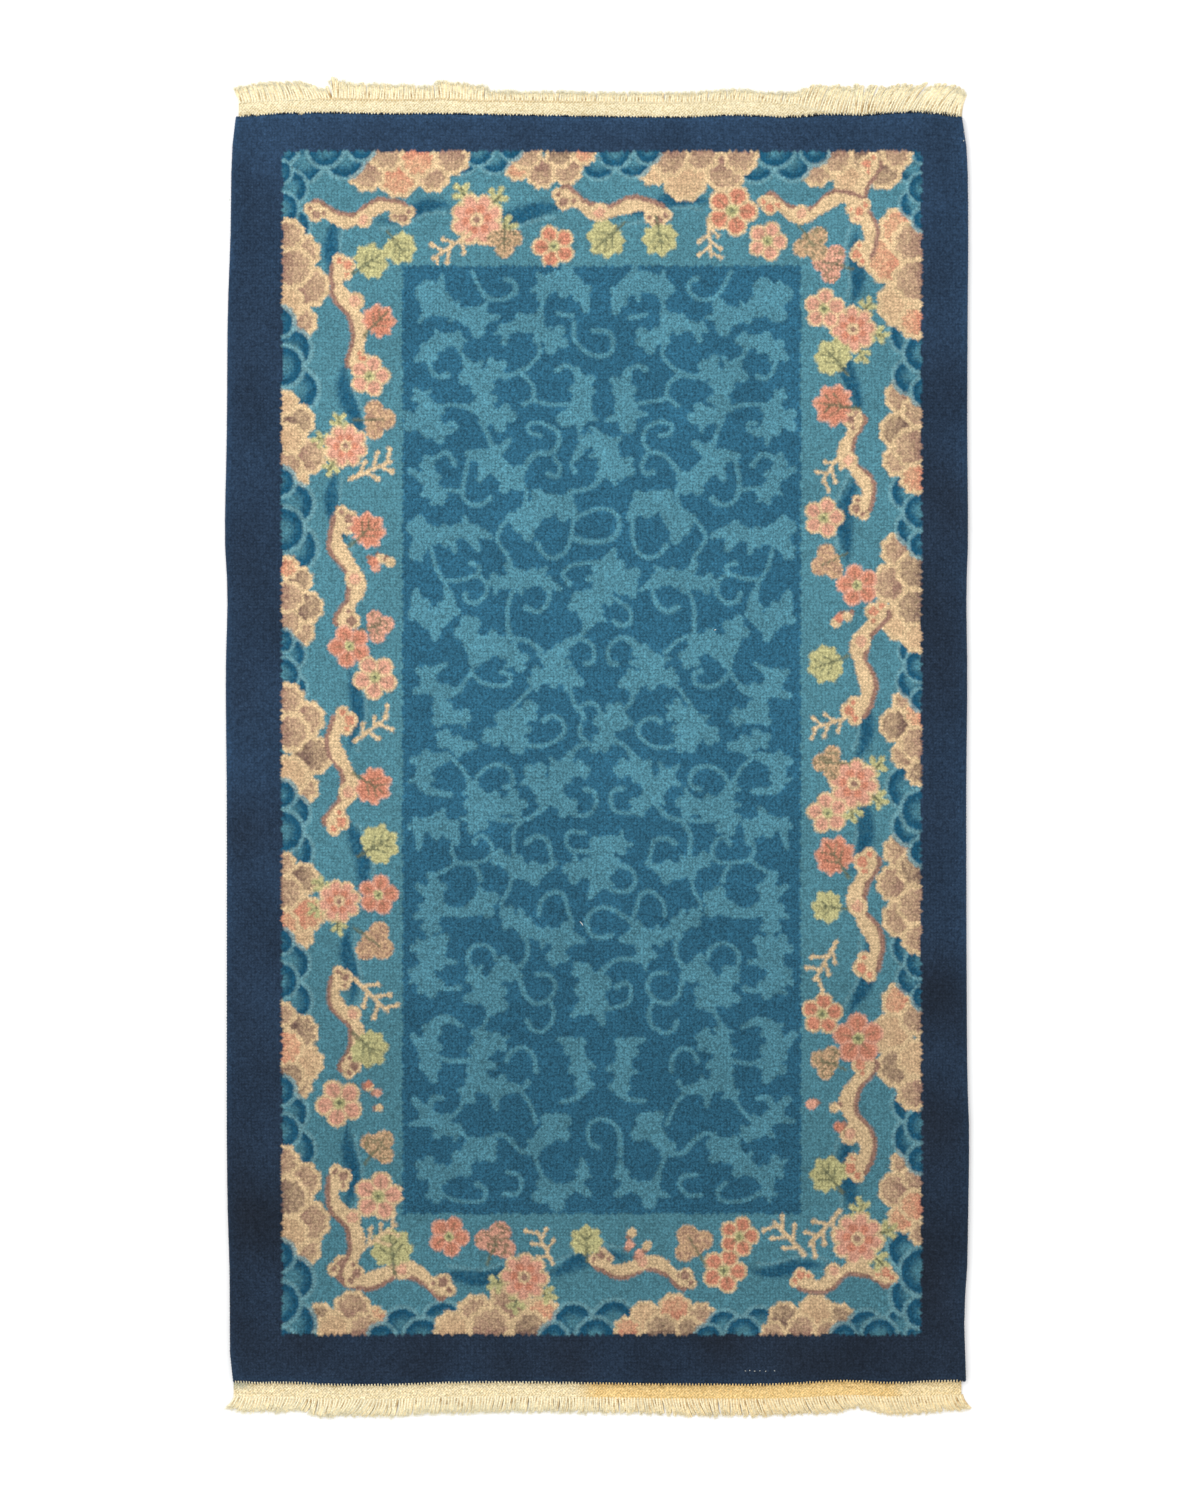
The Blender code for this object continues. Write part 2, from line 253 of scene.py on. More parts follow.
@dataclass
class Motif:
    """One figure of the chart, at a place in metres, turned against the clock, in its own size."""

    x: float
    y: float
    turn: float
    size: float
    seed: int = 0
    reach: ClassVar[float] = 1.7
    edge: ClassVar[float] = 0.0012

    def enter(self, canvas: Canvas) -> None:
        """Finds the knots near the motif, and their places in its own frame.

        Args:
            canvas: The canvas to draw on.
        """
        self.canvas = canvas
        self.which = canvas.near(self.x, self.y, self.reach * self.size)
        dx, dy = canvas.x[self.which] - self.x, canvas.y[self.which] - self.y
        angle = math.radians(self.turn)
        self.u = (dx * math.cos(angle) + dy * math.sin(angle)) / self.size
        self.v = (dy * math.cos(angle) - dx * math.sin(angle)) / self.size
        self.chance = canvas.chance[self.which]
        self.value = random.Random(self.seed * 7919 + 13)

    def fill(self, outside: Array, dye: Dye, blend: float = 1.0) -> None:
        """Dyes the tufts within a shape, given their distance outside it, or blends the dye in."""
        share = blend * np.clip(0.5 - outside * self.size / self.edge, 0.0, 1.0)[:, None]
        self.canvas.colour[self.which] += share * (dye.linear - self.canvas.colour[self.which])

    def shade(self, share: Array, dye: Dye) -> None:
        """Blends a colour in by a share for each knot, with single knots standing out."""
        loose = np.clip(share + (self.chance - 0.5) * 0.45 * (share > 0.02), 0.0, 1.0)[:, None]
        self.canvas.colour[self.which] += loose * (dye.linear - self.canvas.colour[self.which])

    def draw(self) -> None:
        """Draws the motif in its own frame."""
        raise NotImplementedError


class CloudBank(Motif):
    """A bank of rounded clouds on a straight edge, from u -1 to 1, with its lobes towards +v."""

    def draw(self) -> None:
        """Lays the lobes over each other from the far ones to the near ones."""
        u, v, value = self.u, self.v, self.value
        back = [(-0.48, 0.34, 0.33), (0.10, 0.46, 0.36), (0.62, 0.30, 0.31)]
        front = [(-0.80, 0.06, 0.27), (-0.22, 0.10, 0.34), (0.38, 0.06, 0.33), (0.86, 0.02, 0.22)]
        for row in (back, front):
            order = list(row)
            value.shuffle(order)
            for cu, cv, radius in order:
                centre = (cu + value.uniform(-0.07, 0.07), cv + value.uniform(-0.06, 0.06))
                size = radius * value.uniform(0.9, 1.1)
                d = disc(u, v, centre, size) + 0.018 * np.sin(9.0 * np.arctan2(v - centre[1], u - centre[0]))
                inner = value.choice((Dye.TAUPE, Dye.TAUPE, Dye.UMBER, Dye.TAUPE, Dye.SAND, Dye.CORAL))
                self.fill(d, Dye.CREAM)
                low = soft_step(0.12, -0.20, v - centre[1])
                self.shade((d < -0.080) * (0.55 + 0.45 * low), inner)


class CloudRibbon(Motif):
    """A long cream cloud that winds along u from -1 to 1 and rolls up at both ends."""

    def draw(self) -> None:
        """Lays the shadow, the ribbon and its rolled heads."""
        u, v, value = self.u, self.v, self.value
        lift = value.uniform(0.12, 0.20)
        path = [(t, lift * math.sin(4.1 * t + 0.6)) for t in np.linspace(-0.85, 0.85, 13)]
        widths = [0.065 + 0.06 * abs(math.sin(5.3 * t[0] + value.uniform(-0.4, 0.4))) for t in path]
        body = stroke(u, v, path, widths)
        ends = []
        for side, (eu, ev) in ((-1, path[0]), (1, path[-1])):
            ends.append(disc(u, v, (eu + side * 0.02, ev + 0.12), 0.15))
            ends.append(disc(u, v, (eu + side * 0.14, ev + 0.00), 0.12))
            ends.append(disc(u, v, (eu - side * 0.14, ev + 0.08), 0.11))
        heads = np.minimum.reduce(ends)
        bump = disc(u, v, (value.uniform(-0.35, 0.35), 0.10), 0.17)
        whole = np.minimum(np.minimum(body, heads), bump)
        self.fill(np.minimum(stroke(u, v + 0.09, path, widths), whole), Dye.TAUPE)
        self.fill(whole, Dye.CREAM)
        self.shade((heads < -0.065) * 0.9, value.choice((Dye.TAUPE, Dye.CORAL)))
        self.shade((bump < -0.07) * 0.7, Dye.ROSE)


class Waves(Motif):
    """Round wave crests on a straight edge, from u -1 to 1, with their tops towards +v."""

    def draw(self) -> None:
        """Lays each crest with its paler rims over the ones behind it."""
        value = self.value
        crests = [(-0.42, 0.20, 0.46), (0.44, 0.24, 0.48), (-0.84, -0.05, 0.36)]
        crests += [(0.86, -0.02, 0.36), (0.0, -0.04, 0.48)]
        for cu, cv, radius in crests:
            centre = (cu + value.uniform(-0.07, 0.07), cv + value.uniform(-0.05, 0.05))
            d = disc(self.u, self.v, centre, radius * value.uniform(0.92, 1.08))
            self.fill(d, Dye.PALE_TEAL, 0.8)
            self.fill(d + 0.085, Dye.DEEP_TEAL)
            self.shade((d < -0.085) * soft_step(-0.16, -0.40, d) * 0.85, Dye.TURQUOISE)


class Blossom(Motif):
    """An open flower with five notched petals."""

    def draw(self) -> None:
        """Lays five petals, their veins and the eye."""
        u, v, value = self.u, self.v, self.value
        start = value.uniform(0.0, 72.0)
        petal, rim = value.choice(((Dye.CORAL, Dye.ROSE), (Dye.ROSE, Dye.CREAM), (Dye.CORAL, Dye.CREAM)))
        for k in range(5):
            angle = math.radians(start + 72.0 * k)
            centre = (0.55 * math.cos(angle), 0.55 * math.sin(angle))
            d = disc(u, v, centre, 0.40)
            self.fill(d, rim)
            self.fill(d + 0.11, petal)
            vein = taper(u, v, (0.0, 0.0), (centre[0] * 1.25, centre[1] * 1.25), (0.05, 0.03))
            self.fill(vein, Dye.OLIVE, 0.55)
        self.fill(disc(u, v, (0.0, 0.0), 0.22), Dye.PALE_GREEN)
        self.fill(disc(u, v, (0.0, 0.0), 0.09), Dye.OLIVE)


class Peony(Motif):
    """A full flower: a ruffled rim round a cupped heart, with leaves below it."""

    def draw(self) -> None:
        """Lays the leaves, the outer and inner petals and the heart."""
        u, v, value = self.u, self.v, self.value
        for angle in (205.0, 335.0, 265.0):
            a = math.radians(angle)
            lu, lv = u * math.cos(a) + v * math.sin(a), v * math.cos(a) - u * math.sin(a)
            d = lobed_leaf((lu - 0.55) / 0.85, lv / 0.85) * 0.85
            self.fill(d, Dye.PALE_GREEN)
            self.fill(taper(lu, lv, (0.5, 0.0), (1.2, 0.0), (0.06, 0.03)), Dye.OLIVE)
        for ring, count, radius, rim, petal in (
            (0.62, 8, 0.30, Dye.CREAM, Dye.ROSE),
            (0.36, 6, 0.26, Dye.ROSE, Dye.CORAL),
        ):
            start = value.uniform(0.0, 360.0)
            for k in range(count):
                a = math.radians(start + 360.0 / count * k)
                d = disc(u, v, (ring * math.cos(a), ring * math.sin(a)), radius)
                self.fill(d, rim)
                self.fill(d + 0.10, petal)
        self.fill(disc(u, v, (0.0, 0.0), 0.24), Dye.CREAM)
        self.fill(disc(u, v, (0.0, 0.0), 0.12), Dye.TAUPE)


class Leaf(Motif):
    """A broad leaf of length 2 that points to +v, with branching veins."""

    def draw(self) -> None:
        """Lays the blade with its scalloped edge, then its veins and its stalk."""
        u, v, value = self.u, self.v, self.value
        blade = value.choice((Dye.PALE_GREEN, Dye.PALE_GREEN, Dye.PALE_GREEN, Dye.CORAL))
        angle = np.arctan2(u, v + 0.25)
        wide = 0.72 + 0.07 * np.cos(9.0 * angle) - 0.10 * np.cos(2.0 * angle)
        d = np.hypot(u * 1.08, v) - wide * (1.0 + 0.16 * (v > 0) * v)
        self.fill(d, Dye.ROSE if blade is Dye.CORAL else blade)
        self.fill(d + 0.12, blade)
        lines = [taper(u, v, (0.0, -1.0), (0.0, 0.55), (0.07, 0.03))]
        for side in (-1, 1):
            lines.append(taper(u, v, (0.0, -0.35), (side * 0.42, 0.05), (0.045, 0.03)))
            lines.append(taper(u, v, (0.0, 0.0), (side * 0.34, 0.36), (0.045, 0.03)))
        self.fill(np.minimum.reduce(lines), Dye.OLIVE, 0.85)


class SpeckledLeaf(Motif):
    """A three-lobed leaf in two flecked colours that points to +v."""

    def draw(self) -> None:
        """Lays the lobes, then flecks them knot by knot."""
        u, v, value = self.u, self.v, self.value
        lobes = ((0.0, 0.38, 0.42), (-0.42, -0.08, 0.38), (0.42, -0.08, 0.38), (0.0, -0.1, 0.4))
        d = np.minimum.reduce([disc(u, v, (cu, cv), r) for cu, cv, r in lobes])
        light, dark = value.choice(((Dye.ROSE, Dye.OLIVE), (Dye.SAND, Dye.TAUPE), (Dye.SAND, Dye.OLIVE)))
        self.fill(d, light)
        self.shade(((d < -0.05) & (self.chance < 0.42)) * 0.8, dark)
        self.fill(taper(u, v, (0.0, -0.9), (0.0, 0.3), (0.06, 0.04)), Dye.OLIVE, 0.8)


class Sprig(Motif):
    """A bare twig that branches towards +v."""

    def draw(self) -> None:
        """Lays the stem and its short branches."""
        u, v, value = self.u, self.v, self.value
        lean = value.uniform(-0.3, 0.3)
        lines = [taper(u, v, (0.0, -0.9), (lean, 0.9), (0.09, 0.06))]
        for k in range(5):
            share = -0.5 + 0.30 * k
            foot = (lean * (share + 0.9) / 1.8, share)
            side = 1 if k % 2 else -1
            tip = (foot[0] + side * value.uniform(0.35, 0.55), foot[1] + value.uniform(0.22, 0.42))
            lines.append(taper(u, v, foot, tip, (0.075, 0.06)))
            lines.append(disc(u, v, tip, 0.11))
        self.fill(np.minimum.reduce(lines), Dye.CREAM)


class Buds(Motif):
    """A loose drift of small buds."""

    def draw(self) -> None:
        """Lays three or four buds, each with a darker foot."""
        u, v, value = self.u, self.v, self.value
        for _ in range(value.randint(3, 4)):
            centre = (value.uniform(-0.9, 0.9), value.uniform(-0.6, 0.6))
            dye = value.choice((Dye.CREAM, Dye.CORAL, Dye.ROSE, Dye.CREAM))
            self.fill(disc(u, v, (centre[0], centre[1] - 0.20), 0.13), Dye.TAUPE)
            self.fill(disc(u, v, centre, 0.20), dye)


class Mist(Motif):
    """A streak of deep water with a pale edge, along u from -1 to 1."""

    def draw(self) -> None:
        """Blends in the deep streak and draws the pale line over it."""
        u, v, value = self.u, self.v, self.value
        lift = value.uniform(-0.2, 0.2)
        path = [(t, lift + 0.10 * math.sin(3.3 * t + lift * 9)) for t in np.linspace(-0.9, 0.9, 9)]
        deep = stroke(u, v, path, [0.03, 0.10, 0.16, 0.20, 0.20, 0.17, 0.13, 0.08, 0.02])
        self.shade(soft_step(0.05, -0.12, deep) * 0.9, Dye.DEEP_TEAL)
        pale = [(t, w + 0.19) for t, w in path[1:]]
        self.shade((stroke(u, v, pale, [0.04] * len(pale)) < 0.0) * 0.55, Dye.PALE_TEAL)


@dataclass
class BorderDesign:
    """The patterned border: clouds and waves along its outer edge, flowers and leaves inside them."""

    plan: Plan
    bank: float = 0.070
    crest: float = 0.054
    middle_depth: float = 0.078
    inner_depth: float = 0.116
    inner_pitch: float = 0.060
    seed: int = 21
    middle: tuple = (CloudRibbon, Mist, Peony, Mist, CloudRibbon, Blossom, Mist)
    inner: tuple = (Leaf, Blossom, SpeckledLeaf, Sprig, Leaf, Buds, SpeckledLeaf, Blossom, Sprig, Leaf)

    def sides(self) -> list[tuple]:
        """The border's four sides.

        Returns:
            For each side its start, its way along, its length and its turn in degrees.
        """
        left, right, bottom, top = self.plan.border_span()
        x0, x1 = self.plan.column_x(left), self.plan.column_x(right)
        y0, y1 = self.plan.row_y(bottom), self.plan.row_y(top)
        return [
            ((x0, y0), (1, 0), x1 - x0, 0.0),
            ((x1, y0), (0, 1), y1 - y0, 90.0),
            ((x1, y1), (-1, 0), x1 - x0, 180.0),
            ((x0, y1), (0, -1), y1 - y0, 270.0),
        ]

    def motifs(self) -> list[Motif]:
        """Every motif of the border, the ones that lie under the others first.

        Returns:
            The motifs in the order in which they are drawn.
        """
        value = random.Random(self.seed)
        edge, middle, inner = [], [], []
        for number, (start, step, length, turn) in enumerate(self.sides()):
            inward = (-step[1], step[0])

            def figure(kind: type, along: float, depth: float, spin: float, size: float) -> Motif:
                """A motif at a distance along this side and a depth from its outer edge, turned by a spin."""
                x, y = (start[k] + step[k] * along + inward[k] * depth for k in (0, 1))
                return kind(x, y, turn + spin, size, value.randrange(1, 9999))

            along, k = 0.03, number
            while along < length - 0.02:
                kind, size = (CloudBank, self.bank) if k % 2 == 0 else (Waves, self.crest)
                size *= value.uniform(0.85, 1.2)
                along += size * 0.75
                edge.append(figure(kind, along, 0.0, 0.0, size))
                along += size * 0.78
                k += 1
            along, k = 0.10, number * 2
            while along < length - 0.08:
                kind = self.middle[k % len(self.middle)]
                size = {CloudRibbon: 0.066, Mist: 0.058, Peony: 0.032, Blossom: 0.030}[kind]
                size *= value.uniform(0.9, 1.15)
                depth = self.middle_depth + value.uniform(-0.008, 0.008)
                spin = value.uniform(-14, 14) if kind in (CloudRibbon, Mist) else value.uniform(-40, 40)
                middle.append(figure(kind, along + size * 0.5, depth, spin, size))
                along += 0.066 + (0.050 if kind is CloudRibbon else 0.0)
                k += 1
            along, k = 0.135, number * 3
            while along < length - 0.11:
                kind = self.inner[k % len(self.inner)]
                size = 0.0290 * value.uniform(0.88, 1.15)
                depth = self.inner_depth + value.uniform(-0.010, 0.006)
                inner.append(figure(kind, along, depth, value.uniform(-60, 60), size))
                along += self.inner_pitch * value.uniform(0.85, 1.25)
                k += 1
        mists = [m for m in middle if isinstance(m, Mist)]
        others = [m for m in middle if not isinstance(m, Mist)]
        return mists + edge + others + inner


def smooth_run(points: tuple, steps: int = 4) -> list[tuple]:
    """A smooth run through a few given points.

    Args:
        points: The points, each with as many numbers as the others.
        steps: How many straight lengths there are between two of them.

    Returns:
        The run's points, with every number of theirs made smooth.
    """
    given = np.array(points, dtype=float)
    padded = np.vstack([2 * given[0] - given[1], given, 2 * given[-1] - given[-2]])
    run = []
    for k in range(1, len(padded) - 2):
        before, start, end, after = padded[k - 1 : k + 3]
        for t in np.arange(steps) / steps:
            bend = (2 * before - 5 * start + 4 * end - after) * t**2
            bend = bend + (3 * start - before - 3 * end + after) * t**3
            run.append(tuple(start + 0.5 * ((end - before) * t + bend)))
    return run + [tuple(given[-1])]


# The field's chart, in millimetres out from its middle line and down from its top edge. A leaf is a run of
# (out, down, half width), and lobes grow where it is wide. A stem is a run of (out, down). The leaves and
# stems of one half are mirrored. The middle ones stand alone, and a negative distance out is to the right.

LEAVES = (
    ((205, 45, 20), (180, 56, 9), (152, 62, 16)),
    ((216, 28, 7), (208, 42, 12)),
    ((72, 24, 12), (46, 20, 13), (24, 36, 9), (20, 54, 5)),
    ((118, 80, 7), (98, 72, 9), (84, 68, 11), (72, 86, 9), (58, 92, 12)),
    ((178, 92, 9), (200, 95, 9), (214, 108, 9), (227, 116, 4)),
    ((160, 131, 13), (146, 150, 9), (150, 172, 9), (140, 185, 9), (125, 187, 12)),
    ((150, 142, 9), (132, 129, 10)),
    ((150, 165, 7), (134, 163, 5)),
    ((222, 160, 7), (212, 178, 9), (228, 192, 11)),
    ((212, 182, 10), (207, 204, 11)),
    ((32, 130, 5), (27, 152, 10), (30, 182, 17)),
    ((27, 145, 7), (14, 138, 5)),
    ((166, 233, 4), (139, 238, 12), (112, 262, 14)),
    ((138, 238, 9), (113, 219, 4)),
    ((142, 245, 9), (151, 263, 4)),
    ((218, 242, 7), (212, 258, 9), (210, 275, 9), (200, 286, 8)),
    ((236, 251, 4), (214, 262, 8)),
    ((112, 311, 5), (94, 322, 13), (74, 293, 13), (46, 296, 12), (30, 312, 4)),
    ((222, 328, 13), (190, 334, 8), (165, 328, 9), (140, 333, 4)),
    ((215, 335, 9), (229, 352, 7)),
    ((184, 336, 6), (181, 353, 3)),
    ((162, 334, 8), (156, 350, 4)),
    ((229, 404, 5), (224, 427, 11), (205, 440, 11), (187, 426, 9), (189, 404, 5)),
    ((206, 438, 8), (205, 457, 5)),
    ((131, 392, 9), (105, 388, 11), (82, 384, 9), (69, 372, 3)),
    ((88, 386, 9), (68, 391, 7), (50, 400, 3)),
    ((119, 366, 4), (108, 382, 9)),
    ((163, 451, 12), (150, 478, 14), (130, 463, 10), (114, 470, 9), (107, 484, 10)),
    ((62, 490, 14), (48, 472, 7), (33, 460, 4)),
    ((60, 490, 10), (40, 490, 4)),
    ((82, 510, 9), (60, 507, 10), (40, 511, 10), (27, 516, 5)),
    ((226, 501, 5), (213, 513, 8), (195, 527, 8), (174, 522, 4)),
    ((212, 503, 7), (192, 491, 3)),
    ((230, 529, 4), (210, 522, 8)),
    ((198, 530, 7), (196, 552, 11), (171, 555, 8)),
    ((113, 566, 15), (92, 551, 10)),
    ((116, 570, 12), (132, 579, 9)),
    ((112, 575, 11), (90, 573, 5)),
    ((112, 576, 10), (104, 590, 9)),
    ((193, 584, 9), (178, 592, 9), (158, 592, 6)),
    ((232, 612, 5), (213, 611, 9), (192, 604, 6)),
    ((217, 613, 9), (220, 634, 9), (213, 648, 6), (188, 650, 4)),
    ((160, 645, 7), (149, 662, 13), (155, 683, 12)),
    ((148, 668, 11), (128, 670, 10), (109, 666, 12)),
    ((140, 662, 8), (130, 654, 5)),
    ((82, 632, 12), (66, 650, 12), (45, 667, 9)),
    ((60, 646, 10), (50, 624, 11), (27, 621, 8)),
    ((50, 624, 8), (36, 601, 4)),
    ((228, 690, 7), (205, 690, 11), (186, 694, 9), (181, 710, 5)),
    ((202, 688, 8), (196, 671, 3)),
    ((226, 696, 6), (229, 718, 3)),
    ((213, 752, 5), (203, 770, 9), (206, 795, 13), (208, 814, 9)),
    ((227, 766, 4), (210, 780, 8)),
    ((200, 795, 9), (172, 798, 6), (146, 786, 13)),
    ((228, 801, 4), (210, 797, 9)),
    ((127, 732, 8), (106, 742, 11), (84, 748, 10), (58, 738, 3)),
    ((112, 805, 9), (92, 815, 9), (70, 825, 9), (45, 828, 13), (23, 832, 5)),
    ((98, 797, 5), (94, 812, 7)),
    ((50, 834, 11), (54, 852, 10)),
    ((40, 812, 4), (44, 826, 9)),
    ((220, 840, 10), (200, 838, 11), (206, 860, 9), (226, 876, 8)),
    ((208, 858, 8), (181, 861, 3)),
    ((216, 868, 9), (210, 888, 11)),
    ((159, 877, 8), (146, 895, 12), (132, 904, 12)),
    ((166, 902, 6), (148, 898, 9)),
    ((142, 890, 10), (120, 868, 11), (104, 876, 6)),
    ((173, 938, 3), (192, 930, 6), (210, 942, 9), (212, 965, 10), (210, 988, 10), (205, 1003, 5)),
    ((235, 950, 5), (217, 968, 9)),
    ((148, 948, 8), (148, 970, 11), (151, 995, 10), (163, 1018, 8)),
    ((147, 966, 9), (127, 958, 9)),
    ((150, 984, 8), (133, 987, 5)),
    ((152, 1006, 9), (126, 1012, 9), (102, 1016, 5)),
    ((132, 1012, 7), (130, 1038, 3)),
    ((52, 957, 3), (32, 965, 10), (28, 992, 9), (22, 1010, 8), (32, 1025, 4), (50, 1029, 3)),
    ((26, 982, 7), (9, 989, 3)),
    ((230, 1028, 5), (217, 1042, 7), (198, 1062, 11), (180, 1070, 7)),
    ((236, 1060, 3), (212, 1054, 8)),
    ((212, 1040, 4), (206, 1026, 4), (195, 1026, 3)),
    ((59, 1066, 15), (82, 1089, 8)),
    ((58, 1062, 8), (56, 1046, 3)),
    ((140, 1085, 8), (158, 1089, 11), (174, 1107, 11), (198, 1119, 8), (214, 1112, 10)),
    ((158, 1092, 9), (135, 1100, 5)),
    ((206, 1120, 9), (206, 1144, 8)),
    ((60, 1142, 15), (38, 1134, 6), (24, 1118, 7), (25, 1103, 4)),
    ((32, 1134, 7), (19, 1146, 5)),
)
STEMS = (
    ((160, 8), (150, 28), (138, 40), (122, 42), (109, 32), (110, 20), (118, 17)),
    ((72, 36), (76, 50), (74, 64)),
    ((54, 58), (46, 61), (37, 62)),
    ((77, 92), (74, 110), (84, 122), (100, 131), (118, 136), (126, 130)),
    ((118, 80), (119, 96)),
    ((214, 116), (210, 130), (202, 137), (192, 134)),
    ((180, 100), (171, 112), (165, 124)),
    ((150, 190), (142, 205), (136, 222)),
    ((206, 209), (192, 209), (181, 202), (184, 195), (190, 196)),
    ((204, 172), (185, 170), (166, 172)),
    (
        ((74, 212), (86, 209), (88, 199), (72, 195), (55, 205))
        + ((53, 220), (62, 231), (78, 233), (90, 244), (98, 256))
    ),
    ((57, 236), (51, 246), (55, 257), (65, 255)),
    ((34, 130), (44, 125), (54, 130)),
    ((44, 170), (66, 168), (82, 164), (84, 148), (92, 138), (102, 132)),
    ((84, 163), (96, 172)),
    ((98, 264), (92, 280), (95, 300)),
    ((164, 238), (169, 262), (169, 284), (160, 296), (146, 295), (138, 287)),
    ((210, 236), (194, 231), (183, 244)),
    ((202, 276), (186, 275), (170, 279)),
    ((114, 312), (128, 328), (130, 339), (118, 354), (112, 372)),
    ((34, 312), (36, 335), (43, 350), (58, 359), (72, 354), (79, 343)),
    ((210, 345), (203, 372), (193, 390), (190, 406)),
    ((192, 388), (174, 389), (158, 384), (146, 392), (144, 406), (154, 418), (167, 416), (170, 408)),
    ((157, 384), (155, 373), (164, 368)),
    ((106, 396), (113, 412), (114, 432), (111, 456)),
    ((66, 392), (65, 412), (78, 428), (93, 423)),
    ((155, 458), (125, 456), (105, 457), (90, 463), (76, 476)),
    ((158, 485), (160, 503), (172, 518), (182, 524)),
    ((160, 504), (148, 515), (132, 519), (117, 516), (115, 505), (123, 500)),
    ((52, 470), (36, 458), (19, 461), (9, 473), (11, 489), (20, 491)),
    ((84, 514), (100, 530), (116, 552)),
    ((42, 520), (36, 538), (26, 548), (22, 556)),
    ((100, 590), (74, 595), (54, 588), (44, 573), (50, 559), (62, 556), (71, 562)),
    ((190, 602), (172, 620), (160, 640)),
    ((159, 640), (146, 624), (128, 616), (113, 623), (109, 640), (119, 645)),
    ((152, 678), (125, 685), (100, 685), (82, 679), (66, 662)),
    ((48, 672), (32, 677), (16, 674), (9, 661), (13, 648), (24, 645)),
    ((37, 602), (28, 592), (20, 588)),
    ((183, 700), (187, 722), (182, 734), (196, 746), (209, 752)),
    ((182, 735), (160, 737), (142, 734), (136, 720), (142, 707), (152, 704), (158, 712)),
    ((160, 738), (154, 748), (151, 759)),
    ((98, 686), (108, 702), (108, 730)),
    ((62, 738), (64, 722), (68, 708), (80, 704), (92, 711)),
    ((110, 750), (114, 772), (123, 789), (114, 802)),
    ((76, 799), (74, 782), (60, 772), (46, 778), (40, 794), (34, 810), (40, 820)),
    ((92, 822), (92, 848), (102, 864)),
    ((206, 892), (192, 894), (177, 891)),
    ((168, 863), (166, 847), (152, 837), (138, 844), (133, 857)),
    ((134, 912), (142, 930), (148, 944)),
    ((82, 873), (66, 875), (57, 888), (64, 902), (80, 908), (94, 900), (102, 882)),
    ((65, 903), (58, 918), (61, 936), (74, 946), (86, 942), (91, 932)),
    ((206, 975), (186, 983), (158, 981)),
    ((165, 1022), (178, 1045), (192, 1058)),
    ((104, 1016), (90, 1036), (81, 1060)),
    ((102, 1016), (94, 1006)),
    ((118, 982), (112, 971), (98, 966), (86, 976), (84, 993)),
    ((202, 1140), (184, 1152), (160, 1156), (144, 1152), (141, 1139), (152, 1131)),
    ((142, 1080), (128, 1072), (114, 1080), (100, 1094), (84, 1092)),
    ((84, 1092), (76, 1112), (66, 1132)),
    ((116, 1118), (102, 1121), (96, 1134), (103, 1147), (118, 1146)),
)
MIDDLE_LEAVES = (
    ((10, 216, 7), (-8, 226, 14), (-11, 250, 11)),
    ((-10, 236, 9), (-27, 248, 10)),
    ((22, 219, 7), (32, 236, 5)),
    ((-14, 350, 3), (-8, 370, 12), (-16, 386, 14)),
    ((-14, 384, 11), (-32, 388, 13), (-39, 405, 6)),
    ((-10, 382, 8), (14, 388, 5)),
    ((0, 408, 10), (16, 418, 14), (13, 434, 11), (21, 448, 3)),
    ((16, 418, 10), (35, 421, 6)),
    ((-18, 549, 9), (-10, 566, 12), (-8, 584, 9)),
    ((-12, 562, 8), (-28, 562, 7)),
    ((2, 588, 7), (10, 596, 4)),
    ((-24, 715, 9), (-4, 716, 13), (-2, 738, 15), (2, 758, 10), (13, 780, 4)),
    ((0, 745, 11), (30, 746, 12)),
    ((24, 872, 8), (12, 890, 14), (9, 910, 12)),
    ((18, 906, 8), (33, 924, 4)),
    ((6, 914, 9), (-2, 934, 4)),
)
MIDDLE_STEMS = (
    ((34, 70), (33, 92), (22, 106), (4, 111), (-12, 107), (-15, 92), (-8, 81), (10, 80)),
    ((14, 202), (4, 208), (-2, 218)),
    ((32, 236), (37, 243), (32, 252)),
    ((-2, 258), (6, 268), (16, 276), (40, 278)),
    ((34, 310), (20, 309), (8, 304), (-6, 304), (-17, 312), (-17, 328), (-8, 339), (12, 341), (36, 333)),
    ((-4, 364), (18, 366), (36, 369), (46, 380), (38, 394)),
    ((-4, 409), (-20, 414), (-35, 424), (-36, 437), (-25, 443), (-16, 440)),
    ((20, 446), (26, 457), (35, 462)),
    ((30, 547), (20, 540), (8, 541), (0, 552), (-6, 562)),
    ((26, 564), (25, 578), (14, 588), (2, 590), (-8, 584)),
    ((22, 697), (42, 697), (45, 710), (38, 720), (14, 720)),
    ((-4, 766), (-16, 773), (-34, 772), (-42, 760), (-38, 748), (-27, 742)),
    ((-42, 818), (-26, 805), (-12, 795), (-1, 792), (10, 796), (17, 807), (14, 821), (5, 828), (-9, 826)),
    ((-50, 860), (-30, 857), (-13, 858), (-2, 867), (8, 878)),
    ((4, 916), (-18, 913), (-34, 905), (-37, 891), (-29, 884), (-17, 888)),
    ((2, 1087), (13, 1082), (16, 1066), (8, 1056), (-5, 1054), (-18, 1061), (-25, 1076), (-25, 1094)),
)


